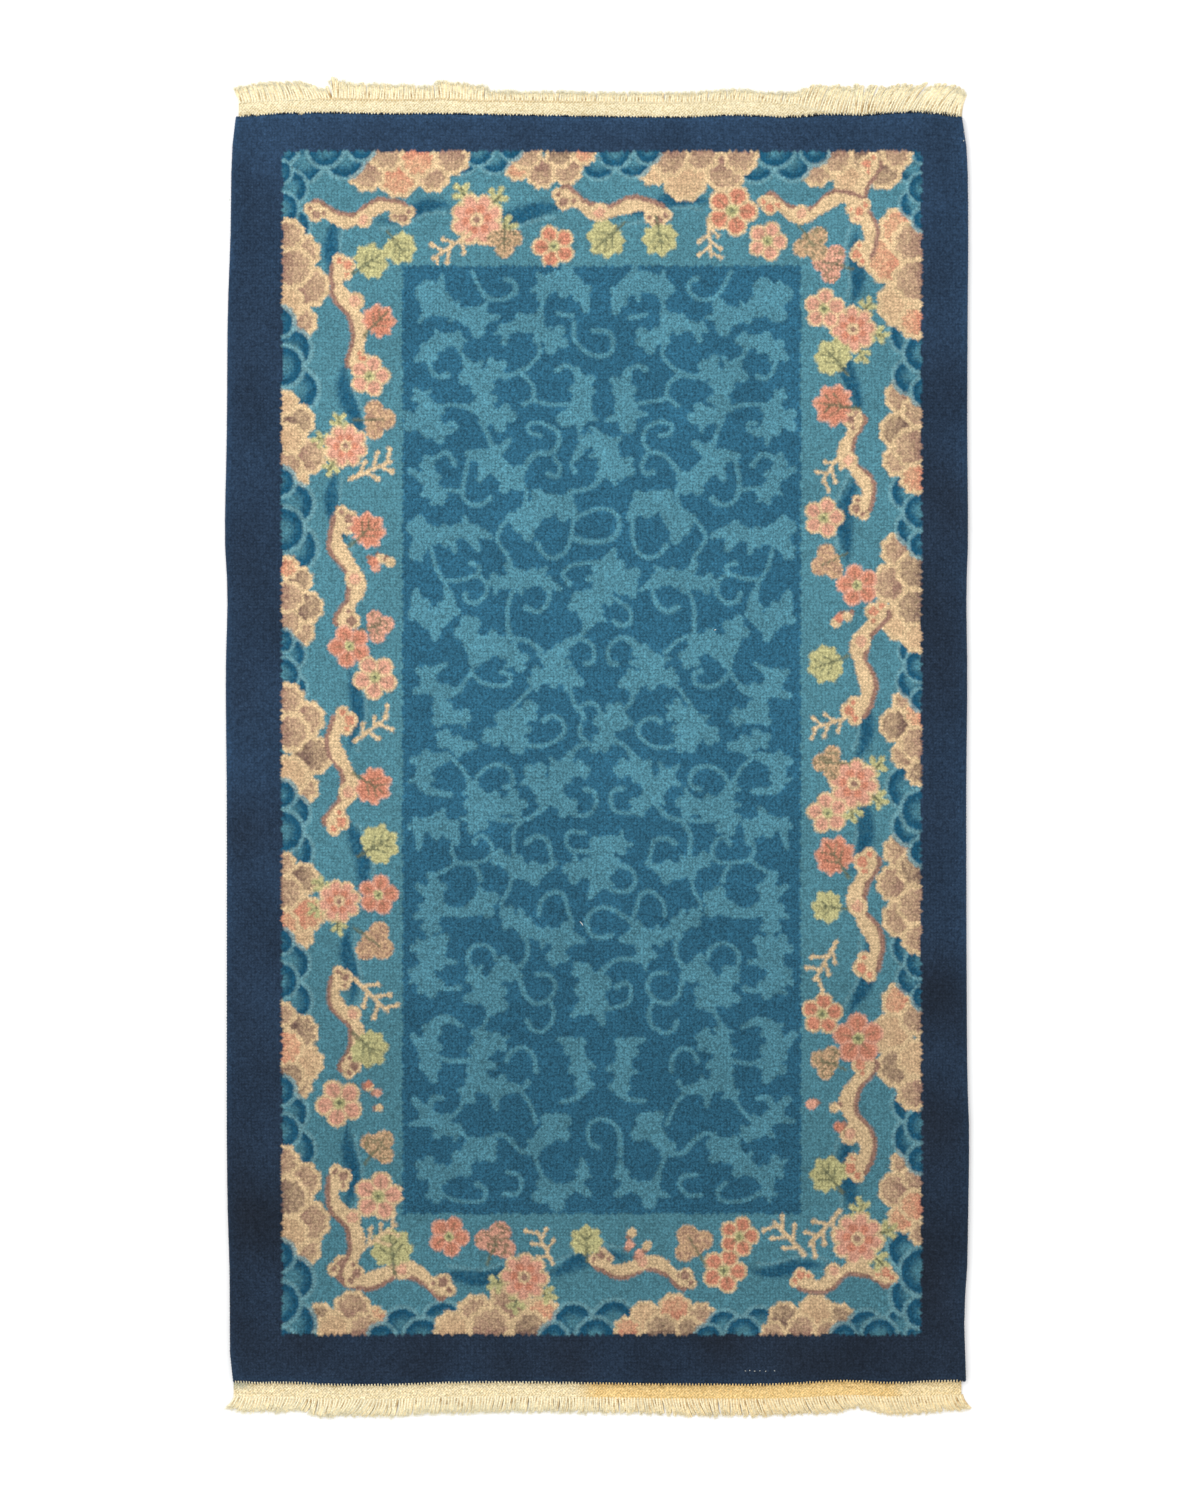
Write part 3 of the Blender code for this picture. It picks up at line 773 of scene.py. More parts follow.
@dataclass
class LeafScroll:
    """The field's scroll of lobed leaves on curling stems, charted for one half and mirrored."""

    stem: float = 2.7
    lobe_from: float = 6.5
    body: float = 0.95
    pointed: float = 0.20
    waver: float = 0.0028
    seed: int = 8

    def leaf(self, run: tuple) -> list[tuple]:
        """The strokes of one leaf: its body, and the lobes round its ends and along its sides.

        Args:
            run: The leaf's points.

        Returns:
            The strokes that make it up.
        """
        value = self.value
        body = smooth_run(run, 3)
        parts = []
        for start, end in zip(body, body[1:]):
            parts.append((start[:2], end[:2], start[2] * self.body, end[2] * self.body))
        for number, (out, down, half) in enumerate(run):
            if half < self.lobe_from:
                continue
            before, after = run[max(number - 1, 0)], run[min(number + 1, len(run) - 1)]
            along = math.atan2(after[1] - before[1], after[0] - before[0])
            if number in (0, len(run) - 1):
                ways = [along + (0.0 if number else math.pi) + turn for turn in (-1.30, 0.0, 1.30)]
            else:
                ways = [along - 1.57, along + 1.57]
            for way in ways:
                way += value.uniform(-0.20, 0.20)
                pointed = value.random() < self.pointed
                reach = half * (1.55 if pointed else 1.00) * value.uniform(0.88, 1.14)
                tip = (out + reach * math.cos(way), down + reach * math.sin(way))
                far = 2.2 if pointed else half * value.uniform(0.54, 0.66)
                parts.append(((out, down), tip, half * 0.62, far))
        return parts

    def strokes(self) -> list[tuple]:
        """Every stroke of both halves, in metres from the middle line and from the field's top.

        Returns:
            Each stroke's two ends and its half widths there.
        """
        strokes = []
        for side, leaves, stems in (
            (-1, LEAVES, STEMS),
            (1, LEAVES, STEMS),
            (-1, MIDDLE_LEAVES, MIDDLE_STEMS),
        ):
            self.value = random.Random(self.seed + side)
            parts = [part for run in leaves for part in self.leaf(run)]
            for run in stems:
                path = smooth_run(run, 3)
                last = len(path) - 1
                for k in range(last):
                    ends = [self.stem * (1.0 + 0.35 * (n / last) ** 6) for n in (k, k + 1)]
                    parts.append((path[k], path[k + 1], *ends))
            for start, end, *radii in parts:
                ends = [(side * out / 1000.0, -down / 1000.0) for out, down in (start, end)]
                strokes.append((*ends, radii[0] / 1000.0, radii[1] / 1000.0))
        return strokes

    def distance(self, x: Array, y: Array) -> Array:
        """The distance outside the scroll, negative within it.

        Args:
            x: Places to the right of the middle line, in metres.
            y: Places above the field's top edge, in metres.

        Returns:
            One distance for each place.
        """
        x, y = x + self.waver * drift(x, y, 0.11, 31), y + self.waver * drift(x, y, 0.11, 33)
        canvas = Canvas(x, y, Dye.TEAL, 0)
        result = np.full(len(x), 1.0)
        for start, end, r0, r1 in self.strokes():
            reach = 0.012 + r0 + 0.5 * math.dist(start, end)
            which = canvas.near((start[0] + end[0]) / 2, (start[1] + end[1]) / 2, reach)
            result[which] = np.minimum(result[which], taper(x[which], y[which], start, end, (r0, r1)))
        return result


# The finishes: what each material looks like.


class Nodes:
    """A small helper that wires one material's nodes."""

    def __init__(self, name: str) -> None:
        """Makes an empty material with a Principled shader.

        Args:
            name: The material's name.
        """
        self.material = bpy.data.materials.new(name)
        self.material.use_nodes = True
        self.tree = self.material.node_tree
        self.tree.nodes.clear()
        self.shader = self.add("BsdfPrincipled")
        self.add("OutputMaterial", {"Surface": self.shader.outputs["BSDF"]})
        self.place = self.add("TexCoord").outputs["Object"]

    def add(self, kind: str, inputs: dict | None = None, **settings: object) -> Node:
        """Adds a node.

        Args:
            kind: The node's type.
            inputs: What its inputs are given, by name or number.
            settings: Its own settings, by name.

        Returns:
            The node.
        """
        node = self.tree.nodes.new("ShaderNode" + kind)
        for key, value in settings.items():
            setattr(node, key, value)
        self.feed(node, inputs or {})
        return node

    def feed(self, node: Node, inputs: dict) -> None:
        """Sets a node's inputs to plain values, or joins them to other nodes' sockets.

        Args:
            node: The node.
            inputs: The values and sockets, by the input's name or number.
        """
        for key, value in inputs.items():
            if isinstance(value, NodeSocket):
                self.tree.links.new(value, node.inputs[key])
            else:
                node.inputs[key].default_value = value

    def surface(
        self, colour: NodeSocket | tuple, normal: NodeSocket, roughness: float = 0.9, shine: float = 0.5
    ) -> Material:
        """Gives the shader its inputs.

        Args:
            colour: The surface's colour.
            normal: Its roughened normal.
            roughness: How dull it is.
            shine: How much light it throws back.

        Returns:
            The finished material.
        """
        inputs = {"Base Color": colour, "Normal": normal, "Roughness": roughness}
        self.feed(self.shader, {**inputs, "Specular IOR Level": shine})
        return self.material

    def dyed(self, shade: NodeSocket) -> NodeSocket:
        """The colour stored on the mesh as dye, with any painted shade in it, made lighter or darker by a
        value.
        """
        dye = self.add("Attribute", attribute_name="dye").outputs["Color"]
        return self.add("VectorMath", {0: dye, "Scale": shade}, operation="SCALE").outputs[0]

    def noise(self, size: float, detail: float = 2.0, squeeze: tuple = (1.0, 1.0, 1.0)) -> NodeSocket:
        """Noise with features of a size in metres and some finer layers, squeezed along its axes."""
        place = self.add("Mapping", {"Vector": self.place, "Scale": squeeze}).outputs["Vector"]
        return self.add("TexNoise", {"Vector": place, "Scale": 1.0 / size, "Detail": detail}).outputs["Fac"]

    def ramp(self, value: NodeSocket, low: float, high: float, to: tuple) -> NodeSocket:
        """A value's span between low and high, mapped to another span."""
        spans = {"From Min": low, "From Max": high, "To Min": to[0], "To Max": to[1]}
        return self.add("MapRange", {"Value": value, **spans}).outputs["Result"]

    def times(self, first: NodeSocket, second: NodeSocket) -> NodeSocket:
        """The product of two values."""
        return self.add("Math", {0: first, 1: second}, operation="MULTIPLY").outputs[0]

    def mixed(self, share: NodeSocket, colour: NodeSocket, tint: tuple) -> NodeSocket:
        """A colour blended towards a fixed tint by a share."""
        inputs = {"Factor": share, 6: colour, 7: (*tint, 1.0)}
        return self.add("Mix", inputs, data_type="RGBA").outputs[2]

    def bump(self, height: NodeSocket, depth: float, strength: float) -> NodeSocket:
        """The surface's normal, roughened by a height with a full depth in metres."""
        inputs = {"Height": height, "Distance": depth, "Strength": strength}
        return self.add("Bump", inputs).outputs["Normal"]


@dataclass(frozen=True)
class WoolFinish:
    """Cut wool pile: the knots' stored colour, their dye with painted shade in places, broken up by its
    fibres and by the lie of the nap.
    """

    name: str
    roughness: float = 0.95
    shine: float = 0.15
    fleck: float = 0.46
    cloud: float = 0.06

    def material(self) -> Material:
        """The finish as a node material.

        Returns:
            The material.
        """
        nodes = Nodes(self.name)
        fibre = nodes.ramp(nodes.noise(0.0024, 1.0), 0.28, 0.72, (1.0 - self.fleck, 1.0 + self.fleck))
        half, cloud = 0.5 * self.fleck, self.cloud
        tuft = nodes.ramp(nodes.noise(0.0011, 2.0), 0.30, 0.70, (1.0 - half, 1.0 + half))
        nap = nodes.ramp(nodes.noise(0.070, 3.0, (1.0, 0.6, 1.0)), 0.30, 0.70, (1.0 - cloud, 1.0 + cloud))
        shade = nodes.times(nodes.times(fibre, tuft), nap)
        normal = nodes.bump(nodes.noise(0.0013, 3.0), 0.0010, 0.9)
        return nodes.surface(nodes.dyed(shade), normal, self.roughness, self.shine)


@dataclass(frozen=True)
class CottonFinish:
    """Undyed cotton, yellowed unevenly and stained in one place."""

    name: str
    thread: float = 0.0009
    grain: float = 0.10
    mottle: float = 0.15
    shine: float = 0.15

    def material(self) -> Material:
        """The finish as a node material.

        Returns:
            The material.
        """
        nodes = Nodes(self.name)
        grain, mottle = self.grain, self.mottle
        fine = nodes.ramp(nodes.noise(self.thread, 3.0), 0.25, 0.75, (1.0 - grain, 1.0 + 0.6 * grain))
        uneven = nodes.ramp(nodes.noise(0.0026, 1.0), 0.28, 0.72, (1.0 - mottle, 1.0 + mottle))
        aged = nodes.ramp(nodes.noise(0.05, 3.0), 0.35, 0.70, (1.0, 0.94))
        shade = nodes.times(nodes.times(fine, uneven), aged)
        normal = nodes.bump(nodes.noise(self.thread, 2.0), 0.0003, 0.5)
        return nodes.surface(nodes.dyed(shade), normal, shine=self.shine)


@dataclass(frozen=True)
class FoundationFinish:
    """The woven back: the backs of the knots in rows, with cotton weft between them."""

    name: str
    pitch: float
    cotton: tuple = (0.62, 0.52, 0.36)

    def material(self) -> Material:
        """The finish as a node material.

        Returns:
            The material.
        """
        nodes = Nodes(self.name)
        ribs = {"Vector": nodes.place, "Scale": math.tau / (self.pitch * 20.0)}
        rows = nodes.add("TexWave", {**ribs, "Distortion": 0.6}, bands_direction="Y").outputs["Fac"]
        warps = nodes.add("TexWave", ribs, bands_direction="X").outputs["Fac"]
        weft = nodes.ramp(rows, 0.0, 0.30, (0.50, 0.0))
        grain = nodes.ramp(nodes.noise(0.0015, 2.0), 0.3, 0.7, (0.82, 1.12))
        colour = nodes.mixed(weft, nodes.dyed(grain), self.cotton)
        return nodes.surface(colour, nodes.bump(nodes.times(rows, warps), 0.0008, 0.8))


@dataclass(frozen=True)
class FloorFinish:
    """A plain pale studio floor."""

    name: str = "pale_floor"
    tone: tuple = (0.93, 0.93, 0.93)

    def material(self) -> Material:
        """The finish as a node material."""
        nodes = Nodes(self.name)
        return nodes.surface((*self.tone, 1.0), nodes.bump(nodes.noise(0.02, 2.0), 0.0002, 0.1))


# The meshes: what each piece is made of.


class Cloth:
    """Gathers the points, faces and colours of one piece."""

    def __init__(self) -> None:
        """Starts a piece with nothing in it."""
        self.points, self.faces, self.colours, self.flat = [], [], [], []

    def add(self, points: Array, faces: list, colours: Array, flat: Array | None = None) -> None:
        """Adds points, the faces between them and the points' colours.

        Args:
            points: One row of x, y and z for each point.
            faces: Groups of faces as rows of point numbers, the faces of a group all with as many corners.
            colours: One linear colour for each point.
            flat: Where each point lies on the cloth spread flat. Left out, its x and y serve.
        """
        start = sum(len(p) for p in self.points)
        flat = points[:, :2] if flat is None else flat
        self.points.append(points)
        for group in faces:
            self.faces.append(group + start)
            self.colours.append(colours[group].reshape(-1, 3))
            self.flat.append(flat[group].reshape(-1, 2))

    def make(self, name: str, material: Material, smooth: bool = True) -> Object:
        """Turns what was added into an object.

        Args:
            name: The object's name.
            material: Its finish.
            smooth: Whether light runs smoothly over its faces.

        Returns:
            The object, with its colours stored as dye at its faces' corners, including painted shade where
            the piece has it, and a flat map for each piece.
        """
        mesh = bpy.data.meshes.new(name)
        points = np.concatenate(self.points).astype(np.float32)
        sizes = np.concatenate([np.full(len(f), f.shape[1], dtype=np.int32) for f in self.faces])
        corners = np.concatenate([f.ravel() for f in self.faces]).astype(np.int32)
        mesh.vertices.add(len(points))
        mesh.vertices.foreach_set("co", points.ravel())
        mesh.loops.add(len(corners))
        mesh.loops.foreach_set("vertex_index", corners)
        mesh.polygons.add(len(sizes))
        starts = np.concatenate([[0], np.cumsum(sizes)[:-1]]).astype(np.int32)
        mesh.polygons.foreach_set("loop_start", starts)
        mesh.polygons.foreach_set("loop_total", sizes)
        mesh.polygons.foreach_set("use_smooth", np.full(len(sizes), smooth))
        dye = mesh.attributes.new("dye", "FLOAT_COLOR", "CORNER")
        colours = np.concatenate(self.colours)
        rgba = np.concatenate([colours, np.ones((len(colours), 1))], axis=1).astype(np.float32)
        dye.data.foreach_set("color", rgba.ravel())
        flat = np.concatenate(self.flat)
        low, high = flat.min(axis=0), flat.max(axis=0)
        spread = (flat - low) / (high - low) * 0.98 + 0.01
        mesh.uv_layers.new(name="OFBake").data.foreach_set("uv", spread.astype(np.float32).ravel())
        mesh.materials.append(material)
        mesh.update(calc_edges=True)
        mesh.validate()
        made = bpy.data.objects.new(name, mesh)
        bpy.context.scene.collection.objects.link(made)
        return made


def across(lines: Array) -> Array:
    """The level direction across each line at each of its points.

    Args:
        lines: The lines' points, seen from above.

    Returns:
        One unit vector for each point.
    """
    along = np.gradient(lines, axis=1)
    along /= np.linalg.norm(along, axis=-1, keepdims=True)
    return np.stack([-along[..., 1], along[..., 0]], axis=-1)


def tubes(
    cloth: Cloth, centre: Array, aside: Array, radius: Array, dye: Array, sides: int = 5,
    shade: float = 0.16, squash: float = 1.0,
) -> None:
    """Adds round threads to a piece.

    Args:
        cloth: What they are added to.
        centre: The points of each thread's middle line.
        aside: The level direction across it at each point.
        radius: Its radius at each point.
        dye: One colour for each thread, or one for each of its points.
        sides: How many sides its outline has.
        shade: How much darker its sides are painted than its top, as painted shade.
        squash: How high it is against its width.
    """
    count, rings = radius.shape
    angle = np.linspace(0.0, math.tau, sides, endpoint=False)
    around, rise = radius[..., None] * np.cos(angle), squash * radius[..., None] * np.sin(angle)
    x = centre[..., 0, None] + around * aside[..., 0, None]
    y = centre[..., 1, None] + around * aside[..., 1, None]
    points = np.stack([x, y, centre[..., 2, None] + rise], axis=-1)
    number = np.arange(count * rings * sides).reshape(count, rings, sides)
    after = np.roll(number, -1, axis=2)
    faces = np.stack([number[:, :-1], after[:, :-1], after[:, 1:], number[:, 1:]], axis=-1)
    share = np.linspace(0.0, 1.0, rings)[None, :, None]
    # Painted shade: each thread's sides and underside are darkened in its colour, and warmed where darker.
    tone = (1.0 - shade + shade * np.sin(angle)) * np.ones((count, rings, 1))
    dye = dye[:, None, :] if dye.ndim == 2 else dye
    colours = dye[:, :, None, :] * tone[..., None] ** np.array([0.8, 1.05, 1.5])
    strip = np.arange(count)[:, None, None] + angle / 8.0
    flat = np.stack(np.broadcast_arrays(strip, share * 40.0), axis=-1).reshape(-1, 2)
    points, colours = points.reshape(-1, 3), colours.reshape(-1, 3)
    cloth.add(points, [faces.reshape(-1, 4), number[:, -1], number[:, 0, ::-1]], colours, flat)


@dataclass(frozen=True)
class Outline:
    """The pile's four edges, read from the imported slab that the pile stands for."""

    left: Array
    right: Array
    bottom: Array
    top: Array
    side_strip: ClassVar[float] = 0.018
    end_strip: ClassVar[float] = 0.022

    @classmethod
    def of_node(cls, node: str, plan: Plan) -> "Outline":
        """Reads the edges from a node's points on the floor.

        Args:
            node: The node's name.
            plan: The rug's plan, which says where its sides are.

        Returns:
            The four edges.
        """
        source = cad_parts[node].data
        places = np.empty(len(source.vertices) * 3, dtype=np.float32)
        source.vertices.foreach_get("co", places)
        places = places.reshape(-1, 3)
        floor = places[places[:, 2] < 1e-5, :2]
        wide, high = plan.width / 2 - cls.side_strip, plan.length / 2 - cls.end_strip

        def edge(chosen: Array, along: int) -> Array:
            """The chosen points in order along an axis, as place along the edge and place across it."""
            points = floor[chosen]
            return points[np.argsort(points[:, along])][:, [along, 1 - along]].T

        return cls(
            left=edge(floor[:, 0] < -wide, 1),
            right=edge(floor[:, 0] > wide, 1),
            bottom=edge(floor[:, 1] < -high, 0),
            top=edge(floor[:, 1] > high, 0),
        )

    def left_x(self, y: Array) -> Array:
        """X of the left edge."""
        return np.interp(y, *self.left)

    def right_x(self, y: Array) -> Array:
        """X of the right edge."""
        return np.interp(y, *self.right)

    def bottom_y(self, x: Array) -> Array:
        """Y of the lower edge."""
        return np.interp(x, *self.bottom)

    def top_y(self, x: Array) -> Array:
        """Y of the upper edge."""
        return np.interp(x, *self.top)


@dataclass(frozen=True)
class BandPaintedLight:
    """How light the navy band is painted at a place along the rug, lighter to the upper left as painted nap
    sheen and darker lower down as painted shade: 0 for NAVY_DARK, 1 for NAVY_LIGHT.
    """

    y: float
    left: float
    right: float


BAND_PAINTED_LIGHT = tuple(BandPaintedLight(*row) for row in (
    (-0.78, 0.20, 0.00),
    (-0.70, 0.14, -0.06),
    (-0.57, -0.04, 0.02),
    (-0.50, 0.12, 0.06),
    (-0.45, 0.34, 0.12),
    (-0.29, 0.36, 0.08),
    (-0.22, 0.48, 0.38),
    (-0.11, 0.32, 0.44),
    (-0.04, 0.66, 0.46),
    (0.07, 0.60, 0.25),
    (0.14, 0.38, 0.13),
    (0.22, 0.38, 0.22),
    (0.30, 0.56, 0.20),
    (0.40, 0.52, 0.34),
    (0.52, 0.44, 0.60),
    (0.63, 0.62, 0.70),
    (0.70, 0.68, 0.80),
    (0.78, 0.86, 0.78),
))


@dataclass
class KnottedPile:
    """The wool pile: a raised tuft for each knot, in three zones, on its woven foundation."""

    plan: Plan
    outline: Outline
    foundation: float = 0.0035
    height: float = 0.0079
    groove: float = 0.0011
    # How much darker the knots' corners are painted: painted shade in the grooves between the tufts.
    groove_painted_shade: float = 0.78
    swell: float = 0.00025
    sunk: float = 0.0003
    pull: float = 0.14
    stray: float = 0.07
    uneven: float = 0.09
    uneven_inside: float = 0.07
    notch_side: float = 0.0003
    notch_end: float = 0.0015
    crest: float = 0.0014
    wisp_count: int = 330
    notches: tuple = ((-0.3655, 0.0034, 0.0060), (-0.4205, 0.0017, 0.0045))
    seed: int = 4
    shoulder_inset: tuple = (0.0, 0.00045, 0.0020, 0.0045)
    shoulder_rise: tuple = (0.48, 0.62, 0.90, 1.00)
    ease_side: float = 0.12
    ease_end: float = 0.07
    band_drift: float = 0.13
    # How much darker the border and field are made towards the bottom, and over which span of Y.
    low_darkening: float = 0.21
    low_darkening_span: tuple = (0.20, -0.52)
    wall_rings: tuple = (
        (-0.00010, 0.00030, 0.0056),
        (-0.00060, 0.00010, 0.0036),
        (-0.00150, -0.00120, 0.0030),
    )

    def __post_init__(self) -> None:
        """Places the tufts and dyes them by the chart."""
        self.random = np.random.default_rng(self.seed)
        plan = self.plan
        columns, rows = np.meshgrid(np.arange(plan.columns + 1.0), np.arange(plan.rows + 1.0))
        middles = (columns[:-1, :-1] + 0.5, rows[:-1, :-1] + 0.5)
        inside = self.edge_gap(columns, rows) > 1e-6
        shake = self.random.uniform(-1.0, 1.0, (3, *columns.shape)) * inside
        x, y = self.plan_place(columns + self.pull * shake[0], rows + self.pull * shake[1])
        z = self.level(columns, rows) - self.groove * (1.0 + 0.4 * shake[2])
        depth = self.random.uniform(0.70, 1.20, columns.shape)
        x += depth * self.notch_side * ((columns == 0) * 1.0 - (columns == plan.columns))
        y += depth * self.notch_end * ((rows == 0) * 1.0 - (rows == plan.rows))
        y -= self.worn(x) * (rows == plan.rows)
        self.corners = np.stack([x, y, z], axis=-1)
        shake = self.random.uniform(-1.0, 1.0, (3, *middles[0].shape))
        x, y = self.plan_place(middles[0] + self.pull * shake[0], middles[1] + self.pull * shake[1])
        wave = self.swell * drift(x, y, 0.16, 51)
        z = self.level(*middles) + self.swell * shake[2] + wave - self.sunk
        self.crowns = np.stack([x, y, z], axis=-1)
        # The corners take the chart's dye darkened as painted shade, where the grooves between the tufts lie.
        self.corner_dye_in_painted_shade = self.dyed(columns, rows) * self.groove_painted_shade
        self.crown_dye = self.dyed(*middles)

    def plan_place(self, columns: Array, rows: Array) -> tuple[Array, Array]:
        """Where a place of the chart lies on the rug, whose edges aren't quite straight.

        Args:
            columns: Places across, in knots from the left.
            rows: Places along, in knots from the bottom.

        Returns:
            X and Y of each place.
        """
        plan, edges = self.plan, self.outline
        x, y = plan.column_x(columns), plan.row_y(rows)
        low, high = plan.row_y(0), plan.row_y(plan.rows)

        def near(gap: Array, reach: float) -> Array:
            """A share that fades from 1 at an edge to 0 at a distance from it."""
            return np.clip(1.0 - gap / reach, 0.0, 1.0) ** 2

        dx = (edges.left_x(y) + plan.width / 2) * near(x + plan.width / 2, self.ease_side)
        dx += (edges.right_x(y) - plan.width / 2) * near(plan.width / 2 - x, self.ease_side)
        dy = (edges.bottom_y(x) - low) * near(y - low, self.ease_end)
        dy += (edges.top_y(x) - high) * near(high - y, self.ease_end)
        return x + dx, y + dy

    def worn(self, x: Array) -> Array:
        """How far the upper edge is worn back at places across it."""
        return sum(depth * np.clip(1.0 - np.abs(x - at) / half, 0.0, 1.0) for at, depth, half in self.notches)

    def edge_gap(self, columns: Array, rows: Array) -> Array:
        """The distance to the nearest edge of the rug, in metres.

        Args:
            columns: Places across, in knots.
            rows: Places along, in knots.

        Returns:
            One distance for each place.
        """
        across, along = self.plan.pitch
        gap_x = np.minimum(columns, self.plan.columns - columns) * across
        gap_y = np.minimum(rows, self.plan.rows - rows) * along
        return np.minimum(gap_x, gap_y)

    def level(self, columns: Array, rows: Array) -> Array:
        """How high the pile stands, with its rounded shoulder."""
        rise = np.interp(self.edge_gap(columns, rows), self.shoulder_inset, self.shoulder_rise)
        return self.foundation + self.height * rise

    def navy(self, x: Array, y: Array) -> Array:
        """The outer band's colour: painted nap sheen makes it lighter to the upper left, painted shade makes
        it darker low down, and it is lighter at the worn edge.

        Args:
            x: Places across, in metres.
            y: Places along, in metres.

        Returns:
            One colour for each place.
        """
        plan = self.plan
        left, right = (
            np.interp(y, [tone.y for tone in BAND_PAINTED_LIGHT], [getattr(tone, side) for tone in BAND_PAINTED_LIGHT])
            for side in ("left", "right")
        )
        # Painted light: the share follows the band's table of painted light, lighter to the upper left as nap
        # sheen and darker to the lower right as shade.
        share = left + (right - left) * (x / plan.width + 0.5) + self.band_drift * drift(x, y, 0.10, 61)
        gap = np.minimum(plan.width / 2 - np.abs(x), plan.length / 2 - np.abs(y - plan.middle_y))
        share += (0.30 + 0.45 * np.clip(share, 0.0, 1.0)) * np.exp(-np.maximum(gap, 0.0) / 0.006)
        dark, light = Dye.NAVY_DARK.linear, Dye.NAVY_LIGHT.linear
        return dark + (light - dark) * np.clip(share, -0.15, 1.5)[:, None]

    def border(self, x: Array, y: Array) -> Array:
        """The patterned border's dyes.

        Args:
            x: Places across, in metres.
            y: Places along, in metres.

        Returns:
            One colour for each place.
        """
        canvas = Canvas(x, y, Dye.TURQUOISE, 1)
        for motif in BorderDesign(self.plan).motifs():
            motif.enter(canvas)
            motif.draw()
        return canvas.colour

    def field(self, x: Array, y: Array) -> Array:
        """The field's dyes: the leaf scroll on its darker, mottled ground.

        Args:
            x: Places across, in metres.
            y: Places along, in metres.

        Returns:
            One colour for each place.
        """
        plan = self.plan
        west, east, _, north = plan.field_span()
        middle = (plan.column_x(west) + plan.column_x(east)) / 2
        away = LeafScroll().distance(x - middle, y - plan.row_y(north))
        share = np.clip(0.5 - away / Motif.edge, 0.0, 1.0)[:, None]
        colour = Dye.TEAL.linear + share * (Dye.SCROLL.linear - Dye.TEAL.linear)
        cloudy = drift(x, y, 0.060, 71) * drift(x, y, 0.17, 73) + 0.4 * drift(x, 3.0 * y, 0.09, 75)
        return colour * (1.0 + 0.07 * cloudy[:, None])

    def dyed(self, columns: Array, rows: Array) -> Array:
        """The chart's colours at some places, each taken from a strand that strays a little.

        Args:
            columns: Places across, in knots from the left, as a grid.
            rows: Places along, in knots from the bottom, as a grid.

        Returns:
            A linear colour for each place.
        """
        plan = self.plan
        shape = columns.shape
        columns = columns.ravel() + self.stray * self.random.uniform(-1.0, 1.0, columns.size)
        rows = rows.ravel() + self.stray * self.random.uniform(-1.0, 1.0, rows.size)
        x, y = plan.column_x(columns), plan.row_y(rows)
        colour = self.navy(x, y)
        # The border and field are made darker towards the bottom of the rug.
        low_darkening = (1.0 - self.low_darkening * soft_step(*self.low_darkening_span, y))[:, None]

        def within(west: int, east: int, south: int, north: int) -> Array:
            """Which places lie in a block of knots."""
            return (columns > west) & (columns < east) & (rows > south) & (rows < north)

        in_field = within(*plan.field_span())
        in_border = within(*plan.border_span()) & ~in_field
        colour[in_border] = self.border(x[in_border], y[in_border]) * low_darkening[in_border]
        colour[in_field] = self.field(x[in_field], y[in_field]) * low_darkening[in_field]
        uneven = np.where(in_border | in_field, self.uneven_inside, self.uneven)
        tone = 1.0 + self.random.normal(0.0, 1.0, len(x)) * uneven
        return (colour * np.clip(tone, 0.5, 1.6)[:, None]).reshape(*shape, 3)

    def zone(self, block: tuple, hole: tuple = (0, 0, 0, 0)) -> Cloth:
        """The tufts of a block of knots, four faces to each.

        Args:
            block: Its first column and the one past its last, then the same for its rows.
            hole: The same four numbers for a block that is left out of it.

        Returns:
            The cloth.
        """
        plan = self.plan
        chosen = np.zeros((plan.rows, plan.columns), dtype=bool)
        for (west, east, south, north), kept in ((block, True), (hole, False)):
            chosen[south:north, west:east] = kept
        rows, columns = np.nonzero(chosen)
        wide = plan.columns + 1
        base = rows * wide + columns
        ring = np.stack([base, base + 1, base + wide + 1, base + wide], axis=1)
        crown = wide * (plan.rows + 1) + rows * plan.columns + columns
        sides = [np.stack([ring[:, k], ring[:, (k + 1) % 4], crown], axis=1) for k in range(4)]
        faces = np.concatenate(sides)
        points = np.concatenate([self.corners.reshape(-1, 3), self.crowns.reshape(-1, 3)])
        colours = np.concatenate([self.corner_dye_in_painted_shade.reshape(-1, 3), self.crown_dye.reshape(-1, 3)])
        used, renumbered = np.unique(faces, return_inverse=True)
        cloth = Cloth()
        cloth.add(points[used], [renumbered.reshape(faces.shape)], colours[used])
        return cloth

    def rim(self) -> tuple[Array, Array, Array]:
        """The outer edge's points, going round against the clock: each knot's corner, then its middle.

        Returns:
            The points, the way out at each, and the dye of the knot beside it.
        """
        plan = self.plan
        across, along = np.arange(plan.columns), np.arange(plan.rows)
        right, top = 0 * along + plan.columns, 0 * across + plan.rows
        corners, crown = self.corners, self.crown_dye
        sides = (
            (across, 0 * across, 0.5, 0.0, corners[0, :-1], crown[0], (0.0, -1.0)),
            (right, along, 0.0, 0.5, corners[:-1, -1], crown[:, -1], (1.0, 0.0)),
            (across[::-1] + 1, top, -0.5, 0.0, corners[-1, :0:-1], crown[-1, ::-1], (0.0, 1.0)),
            (0 * along, along[::-1] + 1, 0.0, -0.5, corners[:0:-1, 0], crown[::-1, 0], (-1.0, 0.0)),
        )
        points, out, dye = [], [], []
        for columns, rows, step_across, step_along, corners, knots, way in sides:
            x, y = self.plan_place(columns + step_across, rows + step_along)
            middles = np.stack([x, y, corners[:, 2]], axis=1)
            reach = self.random.uniform(0.1, 1.2, (len(x), 1)) * self.crest
            middles[:, :2] += reach * (0.0, way[1])
            middles[:, 1] -= self.worn(x) * (way[1] > 0.0)
            points.append(np.stack([corners, middles], axis=1).reshape(-1, 3))
            out.append(np.tile(way, (2 * len(x), 1)))
            dye.append(np.repeat(knots * (0.72 if way[1] else 1.0), 2, axis=0))
        return np.concatenate(points), np.concatenate(out), np.concatenate(dye)

